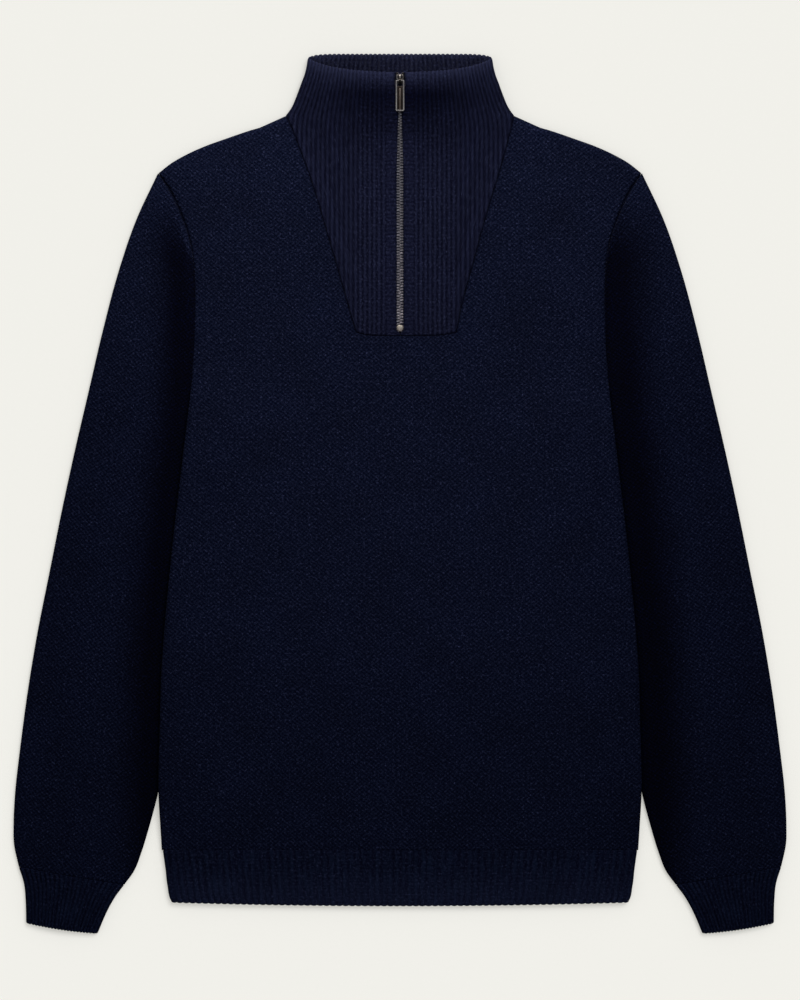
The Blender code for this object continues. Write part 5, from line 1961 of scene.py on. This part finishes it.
@dataclass(frozen=True)
class CollarBack:
    """Back of the collar, whose ribbed inside shows above the front's edge."""

    neck: NeckForm
    shell: float = 0.8
    ribs: int = 38
    rib_cells: int = 6
    rib_height: float = 0.40
    pitch: float = 4.9
    rows: int = 26
    corner_drop: float = 3.0
    corner_power: float = 12.0
    proud: float = 0.5
    fuzz: float = 0.05
    lip_nap_and_highlight: Shade = Shade(0.5, 3.0)
    cut: Cut = Cut(206.0, 124.0, 0.86)

    def face(self, outer: bool, along: Array) -> tuple[Array, Array]:
        """Points on one face, from left to right and from the neck seam to the top.

        Args:
            outer: Whether it is the face on the floor.
            along: Shares of the way to the top.

        Returns:
            Points and the place in ribs of each column.
        """
        neck = self.neck
        widest = float(neck.half_width(neck.body.neck_corner))
        inset = 0.0 if outer else neck.collar_wall
        flat, place = rib_columns(self.ribs, self.rib_cells, neck.reach, self.pitch)
        distances, rises = folded_columns(2.0 * widest, neck.reach, inset, flat)
        share = distances / widest - 1.0
        foot = neck.body.neck_corner + 1.0 - neck.body.neck_dip * (1.0 - share**2)
        top = neck.back_top - self.corner_drop * np.abs(share) ** self.corner_power - 0.3
        y = blend(foot[None, :], top[None, :] + self.proud - neck.collar_wall / 2.0, along[:, None])
        x = share[None, :] * neck.half_width(y)
        gap = neck.gap(y, np.abs(share)[None, :] + 0.0 * y)
        z = neck.collar_wall + gap / 2.0 - (gap / 2.0 + (neck.collar_wall if outer else 0.0)) * rises
        wave = ridge_wave(place) * rises
        z = z + (self.rib_height * wave if not outer else 0.3 * (1.0 - wave) * rises)[None, :]
        return np.stack([x, y, z], axis=2), place

    def sheet(self) -> Cloth:
        """Ribbed inside, the round top edge and the face on the floor in one sheet."""
        along = np.linspace(0.0, 1.0, self.rows)
        inner, place = self.face(False, along)
        outer, _ = self.face(True, along)
        for edge in (0, -1):
            inner[:, edge] = outer[:, edge]
        lip = ribbed_lip(inner[-1], outer[-1], TO_COLLAR, ridge_wave(place))
        points = np.concatenate([inner, lip, outer[::-1]])
        run, pattern = rib_pattern(points, len(place) // 2, place, self.pitch)
        none = np.zeros(points.shape[:2])
        lip_run = run[self.rows + len(LIP_ANGLES) // 2]
        # Pale fuzz over the whole inside, and along the lip a painted highlight
        nap_and_highlight = none + self.fuzz + self.lip_nap_and_highlight.at(run - lip_run)[:, None]
        cloth = Cloth(points, pattern, none, none, nap_and_highlight)
        edge = points[-1]
        level = (self.neck.layers.level("below", edge[:, 1])
                 + self.neck.layers.level("side_gap", edge[:, 1]) / 2.0)
        return cloth.widened(Tuck().rows(edge, -TO_COLLAR, level, towards_middle(edge)), False)

    def make(self, material: Material) -> None:
        """Make the collar's back."""
        piece = knit("collar_back_rib", self.sheet(), self.shell, weld=True)
        dress(piece, material, ("collar_back",))
        self.cut.declare(piece, ())


@dataclass(frozen=True)
class ZipTeeth:
    """Chain of metal teeth between the stops."""

    neck: NeckForm
    foot: float = 152.6
    top: float = 367.3
    repeat: float = 2.5
    half_width: float = 2.9
    overlap: float = 0.25
    length: float = 1.15
    thickness: float = 1.9
    bevel: float = 0.28
    rim: float = 0.32
    dimple: float = 0.22

    def tooth(self) -> Thing:
        """One tooth: a bevelled block with a round head and a dimple on top."""
        reach = self.half_width + self.overlap
        tooth = add_piece("zip_teeth", bpy.ops.mesh.primitive_cube_add, size=1.0)
        edit(tooth,
             lambda: bpy.ops.transform.resize(value=(reach * MM, self.length * MM, self.thickness * MM)),
             lambda: bpy.ops.transform.translate(value=((self.overlap - reach / 2.0) * MM, 0.0, 0.0)),
             lambda: select_faces(tooth, lambda face: face.normal.z > 0.9),
             lambda: bpy.ops.mesh.inset(thickness=self.rim * MM, depth=0.0),
             lambda: bpy.ops.transform.translate(value=(0.0, 0.0, -self.dimple * MM)))
        bevel(tooth, self.bevel, 2, 50.0)
        return tooth

    def make(self, material: Material) -> None:
        """Copy the tooth along both tapes and lay the chain on them."""
        tooth = self.tooth()
        template = np.array([vertex.co[:] for vertex in tooth.data.vertices])
        one = len(template)
        count = 2 * int((self.top - self.foot - self.length) / self.repeat)
        apply_modifier(tooth, "ARRAY", count=count, use_relative_offset=False, use_constant_offset=True,
                       constant_offset_displace=(0.0, self.repeat * MM / 2.0, 0.0))
        points = np.tile(template, (count, 1))
        index = np.arange(count).repeat(one)
        turn = np.where(index % 2 == 0, 1.0, -1.0)
        points[:, 0] *= turn
        points[:, 1] = points[:, 1] * turn + (self.foot + self.length / 2.0) * MM + index * (
            self.repeat * MM / 2.0)
        points[:, 2] += self.neck.metal_line(points[:, 1] / MM, self.thickness) * MM
        tooth.data.vertices.foreach_set("co", points.reshape(-1).astype(np.float32))
        tooth.data.update()
        shade(tooth, 40.0)
        dress(tooth, material, ("zip_chain",))


@dataclass(frozen=True)
class ZipStops:
    """Stops at both ends of the chain."""

    neck: NeckForm
    foot: float = 146.55
    length: float = 5.6
    width: float = 6.8
    thickness: float = 2.1
    top_y: float = 378.65
    top_side: float = 2.6
    top_width: float = 2.0
    top_length: float = 1.1
    edge_drop: float = 0.12
    crown_drop: float = 0.22
    corner_round: float = 0.55
    bevel_share: float = 0.24

    def block(self, name: str, size: Triple, centre: Triple,
              crown: float) -> Thing:
        """Clamped metal block with rounded edges and corners.

        Args:
            name: Name of the new object.
            size: Its length along X, Y and Z in millimetres.
            centre: Its middle in millimetres.
            crown: How domed it is, from 0 to 1.

        Returns:
            The new object.
        """
        middle = [value * MM for value in centre]
        block = add_piece(name, bpy.ops.mesh.primitive_cube_add, size=1.0, location=middle)
        edit(block,
             lambda: bpy.ops.transform.resize(value=[value * MM for value in size],
                                              center_override=middle),
             lambda: bpy.ops.mesh.subdivide(number_cuts=5))
        fall = self.edge_drop + self.crown_drop * crown
        for vertex in block.data.vertices:
            side, end, up = ((vertex.co[axis] / MM - centre[axis]) / (size[axis] / 2.0) for axis in range(3))
            vertex.co.z -= max(up, 0.0) * MM * size[2] * fall * (side**2 + 0.8 * end**2)
            corner = 1.0 - math.sqrt(1.0 - self.corner_round * crown * (side * end) ** 2)
            vertex.co.x -= side * MM * size[0] / 2.0 * corner
            vertex.co.y -= end * MM * size[1] / 2.0 * corner
        bevel(block, self.bevel_share * min(size), 3, 50.0)
        shade(block, 45.0)
        return block

    def make(self, pale: Material, metal: Material) -> None:
        """Make the bottom stop and the two top stops."""
        middle = self.foot + self.length / 2.0
        height = float(self.neck.metal_line(np.float64(middle), self.thickness))
        stop = self.block("bottom_stop", (self.width, self.length, self.thickness),
                          (0.0, middle, height), 0.9)
        dress(stop, pale, ("zip_bottom_stop",))
        height = float(self.neck.metal_line(np.float64(self.top_y), self.thickness))
        for side in Side:
            stop = self.block(f"top_stop_{side.label}", (self.top_width, self.top_length, self.thickness),
                              (side.value * self.top_side, self.top_y, height), 0.0)
            dress(stop, metal, (f"zip_top_stop_{side.label}",))


@dataclass(frozen=True)
class TackStitches:
    """Two sewn stitches that hold the foot of the zip, below the bottom stop."""

    neck: NeckForm
    side: float = 1.65
    start: float = 142.4
    end: float = 147.2
    radius: float = 0.28
    bow: float = 0.9
    twist: float = 0.12
    twists: float = 3.0

    def stitch(self, side: Side) -> Thing:
        """One stitch: a fine round yarn that dives into the cloth at both ends.

        Args:
            side: Which of the two.

        Returns:
            The new object.
        """
        length = self.end - self.start
        middle = (side.value * self.side * MM, (self.start + self.end) / 2.0 * MM, 0.0)
        stitch = add_piece(f"tack_stitch_{side.label}", bpy.ops.mesh.primitive_cylinder_add, vertices=8,
                           radius=self.radius * MM, depth=length * MM, location=middle,
                           rotation=(math.pi / 2.0, 0.0, 0.0))
        edit(stitch, lambda: bpy.ops.mesh.subdivide(number_cuts=5))
        top = float(self.neck.tape_line(np.float64(self.start)) + self.neck.body.wall)
        for vertex in stitch.data.vertices:
            share = min(max((vertex.co.y / MM - self.start) / length, 0.0), 1.0)
            turn = share * 2.0 * self.twists * math.pi + math.atan2(vertex.co.z, 1e-4)
            vertex.co.x += self.twist * self.radius * math.sin(turn) * MM
            arch = (self.bow + self.radius / 2.0) * math.sin(math.pi * share)
            vertex.co.z += (top - self.bow + arch) * MM
        shade(stitch, 60.0)
        return stitch

    def make(self, material: Material) -> None:
        """Make both stitches; they lie on the insert's cloth, and no solid is hidden for them."""
        for side in Side:
            dress(self.stitch(side), material, ())


@dataclass(frozen=True)
class Slider:
    """Slider: two plates on a post, with side flanges and an arched bridge."""

    foot: float = 369.4
    length: float = 8.4
    width: float = 7.8
    neck_width: float = 5.4
    base: float = 6.5
    thickness: float = 3.8
    pivot_y: float = 371.9
    spine: float = 0.75
    bridge_width: float = 1.8
    bridge_length: float = 5.4
    bridge_height: float = 2.9
    bridge_bar: float = 0.8
    bridge_sunk: float = 0.3
    groove: float = 0.8
    shoulder: Pair = (0.30, 0.34)
    taper: Pair = (0.84, 0.16)
    crest: Pair = (0.5, 0.9)
    crest_end: float = 0.12
    # Two shallow troughs between the middle and the shoulders, as a drop of the crown
    across: Curve = Curve(
        "x drop",
        (0.0, 0.0),
        (0.7, 0.1),
        (1.8, 1.5),
        (2.4, 1.5),
        (3.2, 0.7),
        (3.9, 2.0),
    )

    def plates(self) -> Thing:
        """Body of the slider, broad at its shoulders and narrow at its foot."""
        centre = (0.0, (self.foot + self.length / 2.0) * MM, (self.base + self.thickness / 2.0) * MM)
        plates = add_piece("slider_body", bpy.ops.mesh.primitive_cube_add, size=1.0, location=centre)
        size = (self.width * MM, self.length * MM, self.thickness * MM)
        edit(plates, lambda: bpy.ops.transform.resize(value=size, center_override=centre),
             lambda: bpy.ops.mesh.subdivide(number_cuts=11))
        for vertex in plates.data.vertices:
            along = (vertex.co.y / MM - self.foot) / self.length
            side = vertex.co.x / MM / (self.width / 2.0)
            up = (vertex.co.z / MM - self.base) / self.thickness
            narrow = blend(self.neck_width / self.width, 1.0, float(rising(along, *self.shoulder)))
            narrow -= 0.10 * float(rising(along, *self.taper))
            vertex.co.x *= narrow
            crest = 1.0 - float(rising(abs(vertex.co.x) / MM, *self.crest))
            crest *= float(up > 0.99)
            vertex.co.z += MM * self.spine * crest * float(ease((1.0 - along) / self.crest_end))
            ends = 1.8 * max(1.0 - along / 0.3, 0.0) + 0.9 * max(2.0 * along - 1.0, 0.0) ** 4
            drop = float(self.across.smooth("drop", np.float64(abs(side) * self.width / 2.0)))
            vertex.co.z -= MM * max(up - 0.5, 0.0) * (drop + ends)
            vertex.co.y -= MM * 0.9 * max(along - 0.5, 0.0) * side**2
        middle = self.base + self.thickness / 2.0
        edit(plates,
             lambda: select_faces(plates, lambda face: abs(face.normal.x) > 0.7
                                  and abs(face.center.z / MM - middle) < self.thickness * 0.2),
             lambda: bpy.ops.mesh.inset(thickness=0.08 * MM, depth=-self.groove * MM))
        bevel(plates, 0.3, 3, 48.0)
        return plates

    def bridge(self) -> Thing:
        """Arch over which the pull tab hooks."""
        deck = self.base + self.thickness - self.bridge_sunk
        outer = self.bridge_length / 2.0
        rise = (self.bridge_height + self.bridge_sunk) / outer
        radius = outer - self.bridge_bar / 2.0
        bridge = add_piece("slider_bridge", bpy.ops.mesh.primitive_plane_add, size=1.0)
        edit(bridge,
             lambda: bpy.ops.transform.resize(value=(self.bridge_width * MM, self.bridge_bar * MM, 1.0)),
             lambda: bpy.ops.transform.translate(value=(0.0, -radius * MM, 0.0)),
             lambda: bpy.ops.mesh.spin(steps=14, angle=-math.pi, center=(0.0, 0.0, 0.0),
                                       axis=(1.0, 0.0, 0.0)),
             lambda: bpy.ops.mesh.select_all(action="SELECT"),
             lambda: bpy.ops.mesh.normals_make_consistent(inside=False))
        for vertex in bridge.data.vertices:
            vertex.co.z = abs(vertex.co.z) * rise + deck * MM
            vertex.co.y += self.pivot_y * MM
        bevel(bridge, 0.2, 2, 60.0)
        return bridge

    def make(self, material: Material, arch: Material) -> None:
        """Make the plates and the bridge."""
        for piece, metal in ((self.plates(), material), (self.bridge(), arch)):
            shade(piece, 42.0)
            dress(piece, metal, ("zip_slider",))


@dataclass(frozen=True)
class PullTab:
    """Pull tab: a frame with a window for the bridge and a thin bare panel sunk in it."""

    pivot_y: float = 371.9
    pivot_z: float = 11.5
    width: float = 7.7
    rim: float = 1.15
    bar: float = 1.1
    window: float = 5.0
    panel_length: float = 21.6
    length: float = 27.5
    thickness: float = 1.2
    panel_thickness: float = 0.5
    panel_rise: float = 0.2
    ridge_width: float = 1.5
    ridge_rise: float = 0.25
    corner: float = 1.5
    bevel: float = 0.3
    overlap: float = 0.2

    def corner_bars(self) -> Pair:
        """Places along the tab where its two cross bars lie, in metres."""
        return ((self.pivot_y - self.length) * MM, (self.pivot_y + self.bar / 2.0) * MM)

    def frame(self) -> Thing:
        """Frame of the tab, from a flat grid without its middle cell."""
        half = self.width / 2.0
        across = (-half, -half + self.rim, half - self.rim, half)
        along = (-self.length, -self.length + self.rim, -self.bar / 2.0, self.bar / 2.0)
        frame_piece = add_piece("pull_tab_plate", bpy.ops.mesh.primitive_grid_add, x_subdivisions=3,
                                y_subdivisions=3, size=1.0)
        for vertex in frame_piece.data.vertices:
            row, column = divmod(vertex.index, len(across))
            vertex.co = (across[column] * MM, (self.pivot_y + along[row]) * MM,
                         (self.pivot_z + self.thickness / 2.0) * MM)
        middle_y = self.pivot_y - self.length / 2.0
        edit(frame_piece,
             lambda: select_faces(frame_piece, lambda face: abs(face.center.x) < half * 0.2 * MM
                                  and abs(face.center.y / MM - middle_y) < self.window),
             lambda: bpy.ops.mesh.delete(type="FACE"))
        apply_modifier(frame_piece, "SOLIDIFY", thickness=self.thickness * MM, offset=-1.0)
        self.round_corners(frame_piece)
        bevel(frame_piece, self.bevel, 3, 50.0)
        shade(frame_piece, 45.0)
        return frame_piece

    def panel(self) -> Thing:
        """Bare panel with a raised bar along it, let into the frame below the window."""
        foot = self.pivot_y - self.length + self.rim - self.overlap
        height = self.pivot_z - self.thickness / 2.0 + self.panel_rise + self.panel_thickness / 2.0
        size = (self.width - 2.0 * self.rim + 2.0 * self.overlap, self.panel_length,
                self.panel_thickness)
        middle = (0.0, (foot + self.panel_length / 2.0) * MM, height * MM)
        panel = add_piece("pull_tab_panel", bpy.ops.mesh.primitive_cube_add, size=1.0)
        edit(panel,
             lambda: bpy.ops.transform.resize(value=[value * MM for value in size]),
             lambda: bpy.ops.transform.translate(value=middle),
             lambda: select_faces(panel, lambda face: face.normal.z > 0.9),
             lambda: bpy.ops.mesh.inset(thickness=(size[0] - self.ridge_width) / 2.0 * MM, depth=0.0),
             lambda: bpy.ops.mesh.inset(thickness=0.1 * MM, depth=self.ridge_rise * MM))
        bevel(panel, 0.12, 2, 50.0)
        shade(panel, 45.0)
        return panel

    def round_corners(self, piece: Thing) -> None:
        """Round the four upright edges at the tab's outer corners."""
        half = self.width / 2.0 * MM
        select_only(piece)
        bpy.ops.object.mode_set(mode="EDIT")
        bpy.ops.mesh.select_mode(type="EDGE")
        bpy.ops.mesh.select_all(action="DESELECT")
        bpy.ops.object.mode_set(mode="OBJECT")
        for edge in piece.data.edges:
            first, second = (piece.data.vertices[index].co for index in edge.vertices)
            upright = abs(first.x - second.x) + abs(first.y - second.y) < 1e-6
            gap = min(abs(first.y - end) for end in self.corner_bars())
            edge.select = upright and abs(abs(first.x) - half) < 1e-6 and gap < 1e-6
        bpy.ops.object.mode_set(mode="EDIT")
        bpy.ops.mesh.bevel(offset=self.corner * MM, segments=5, affect="EDGES")
        bpy.ops.mesh.select_mode(type="FACE")
        bpy.ops.object.mode_set(mode="OBJECT")

    def make(self, metal: Material, bare: Material) -> None:
        """Make the frame and its panel."""
        dress(self.frame(), metal, ("zip_pull_tab",), PULL_TAB)
        dress(self.panel(), bare, ("zip_pull_tab",), PULL_TAB)


@dataclass(frozen=True)
class Studio:
    """Pale floor, soft light and a camera straight above."""

    field_height: float = 0.900
    aim_y: float = -0.0054
    cloth_height: float = 0.008
    lens: float = 200.0
    sensor: float = 36.0
    floor_size: float = 12.0
    floor_drop: float = 0.0003
    sky: Colour = (0.99, 0.985, 0.95, 1.0)
    sky_strength: float = 0.55
    sun_strength: float = 1.35
    sun_spread: float = 34.0
    sun_tilt: Pair = (-26.0, 22.0)
    key_power: float = 18.0
    key_place: Triple = (-0.05, 0.80, 0.37)
    key_size: Pair = (0.70, 0.16)
    key_tint: Triple = (1.0, 0.86, 0.72)
    fill_tint: Triple = (1.0, 0.82, 0.74)
    fill_power: float = 1.2
    fill_place: Triple = (0.0, 0.02, 0.45)
    fill_size: float = 0.12

    def camera(self) -> None:
        """Put the camera straight above the sweater."""
        distance = self.field_height * self.lens / self.sensor
        bpy.ops.object.camera_add(location=(0.0, self.aim_y, self.cloth_height + distance),
                                  rotation=(0.0, 0.0, 0.0))
        camera = bpy.context.active_object
        camera.name = "camera_above"
        camera.data.lens = self.lens
        camera.data.sensor_width = self.sensor
        camera.data.clip_start, camera.data.clip_end = 0.1, 60.0
        bpy.context.scene.camera = camera

    def floor(self) -> None:
        """Lay the pale floor."""
        floor = add_piece("floor", bpy.ops.mesh.primitive_plane_add, size=self.floor_size,
                          location=(0.0, 0.0, -self.floor_drop))
        floor.data.materials.append(FloorFinish().material())
        floor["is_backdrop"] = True

    def soft_box(self, name: str, place: Triple, power: float,
                 tint: Triple) -> Thing:
        """Add an area light that the camera doesn't see.

        Args:
            name: Name of the light.
            place: Its place in metres.
            power: Its power in watts.
            tint: Its colour.

        Returns:
            The light.
        """
        bpy.ops.object.light_add(type="AREA", location=place)
        box = bpy.context.active_object
        box.name = name
        box.data.energy = power
        box.data.color = tint
        box.visible_camera = False
        return box

    def lights(self) -> None:
        """Sky, soft sun and a low key light beyond the collar that grazes the cloth alone."""
        scene = bpy.context.scene
        world = bpy.data.worlds.new("soft_sky")
        world.use_nodes = True
        background = world.node_tree.nodes["Background"]
        background.inputs["Color"].default_value = self.sky
        background.inputs["Strength"].default_value = self.sky_strength
        scene.world = world
        bpy.ops.object.light_add(type="SUN", rotation=[*map(math.radians, self.sun_tilt), 0.0])
        sun = bpy.context.active_object
        sun.name = "soft_sun"
        sun.data.energy = self.sun_strength
        sun.data.angle = math.radians(self.sun_spread)
        key = self.soft_box("key_light", self.key_place, self.key_power, self.key_tint)
        key.data.shape = "RECTANGLE"
        key.data.size, key.data.size_y = self.key_size
        away = key.location.copy()
        away.y -= 0.05
        key.rotation_euler = away.to_track_quat("Z", "Y").to_euler()
        fill = self.soft_box("fill_light", self.fill_place, self.fill_power, self.fill_tint)
        fill.data.size = self.fill_size
        lit = bpy.data.collections.new("lit_by_key")
        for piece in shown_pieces():
            lit.objects.link(piece)
        for light in (key, fill):
            light.light_linking.receiver_collection = lit
        scene.view_settings.view_transform = "Standard"

    def make(self) -> None:
        """Set up the whole studio."""
        self.camera()
        self.floor()
        self.lights()


def dress_tapes(material: Material) -> None:
    """Give the zip's two tapes, which keep their solids, their woven finish."""
    for side in Side:
        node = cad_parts[f"zip_tape_{side.label}"]
        node.data.materials.clear()
        node.data.materials.append(material)
        LOG.info("%s: woven finish", node.name)


def write_sizes() -> None:
    """Does nothing: no boxes are written."""
    LOG.info("sizes written")


def main() -> None:
    """Build the sweater's pieces in order, then the studio."""
    logging.basicConfig(level=logging.INFO, format="%(name)s: %(message)s")
    wool = WoolFinish(valley_shade=(0.00003, 0.0001, 0.0024, 1.0), crest=(0.0012, 0.0026, 0.0086, 1.0),
                      pale_fibre=(0.0098, 0.0131, 0.0348, 1.0), sheen=0.02,
                      sheen_tint=(0.70, 0.80, 1.0, 1.0), painted_shade_tint=(0.03, 0.09, 0.26, 1.0))
    neck_wool = replace(wool, crest=(0.0027, 0.0038, 0.0117, 1.0),
                        pale_fibre=(0.0115, 0.0148, 0.0369, 1.0))
    # Darker copy of the wool for the collar's inside: painted shade
    shaded_inside_wool = replace(wool, crest=(0.0022, 0.0028, 0.0063, 1.0))
    moss = MossKnit(wool).material()
    hem_rib = RibKnit(wool, "navy_rib_wide", 6.0, ridge_share=0.60, streak=0.46).material()
    cuff_rib = RibKnit(wool, "navy_rib_cuff", 4.4, ridge_share=0.60, streak=0.42).material()
    neck_rib = RibKnit(neck_wool, "navy_rib_neck", 4.3).material()
    collar_rib = RibKnit(shaded_inside_wool, "navy_rib_collar", 4.9).material()
    chain = MetalFinish("gunmetal_teeth", (0.012, 0.013, 0.018, 1.0), (0.165, 0.172, 0.205, 1.0), 0.34)
    metal = MetalFinish("gunmetal_tab", (0.013, 0.0132, 0.0165, 1.0), (0.088, 0.090, 0.098, 1.0), 0.38)
    # The bridge's gunmetal is a darker copy of the slider's: painted shade
    arch = MetalFinish("gunmetal_bridge_painted_shade", (0.004, 0.004, 0.004, 1.0), (0.034, 0.034, 0.033, 1.0), 0.36)
    # Slider with a painted highlight down its spine
    dark = MetalFinish("gunmetal_slider", (0.005, 0.005, 0.006, 1.0), (0.068, 0.068, 0.072, 1.0), 0.36,
                       bar=1.4)
    # Top stops near black, far darker than the bottom stop
    black = MetalFinish("near_black_stop", (0.002, 0.002, 0.0025, 1.0), (0.020, 0.020, 0.022, 1.0), 0.42)
    # Tab panel with a painted highlight down its ridge
    bare = MetalFinish("bare_panel", (0.0005, 0.0004, 0.0004, 1.0), (0.032, 0.0285, 0.0275, 1.0), 0.50,
                       bar=1.5, bar_end=364.9)
    pale = MetalFinish("pale_metal_stop", (0.080, 0.080, 0.078, 1.0), (0.170, 0.170, 0.167, 1.0), 0.56)
    body = BodyPanels()
    neck = NeckForm(body)
    Sleeves(body).make(moss)
    body.make(moss)
    Cuffs().make(cuff_rib)
    HemBands().make(hem_rib)
    CollarBack(neck).make(collar_rib)
    Placket(neck).make(neck_rib)
    dress_tapes(TapeWeave().material())
    ZipTeeth(neck).make(chain.material())
    ZipStops(neck).make(pale.material(), black.material())
    TackStitches(neck).make(TapeWeave(thread=(0.034, 0.036, 0.050, 1.0)).material())
    Slider().make(dark.material(), arch.material())
    PullTab().make(metal.material(), bare.material())
    Studio().make()
    write_sizes()


if __name__ == "__main__":
    main()
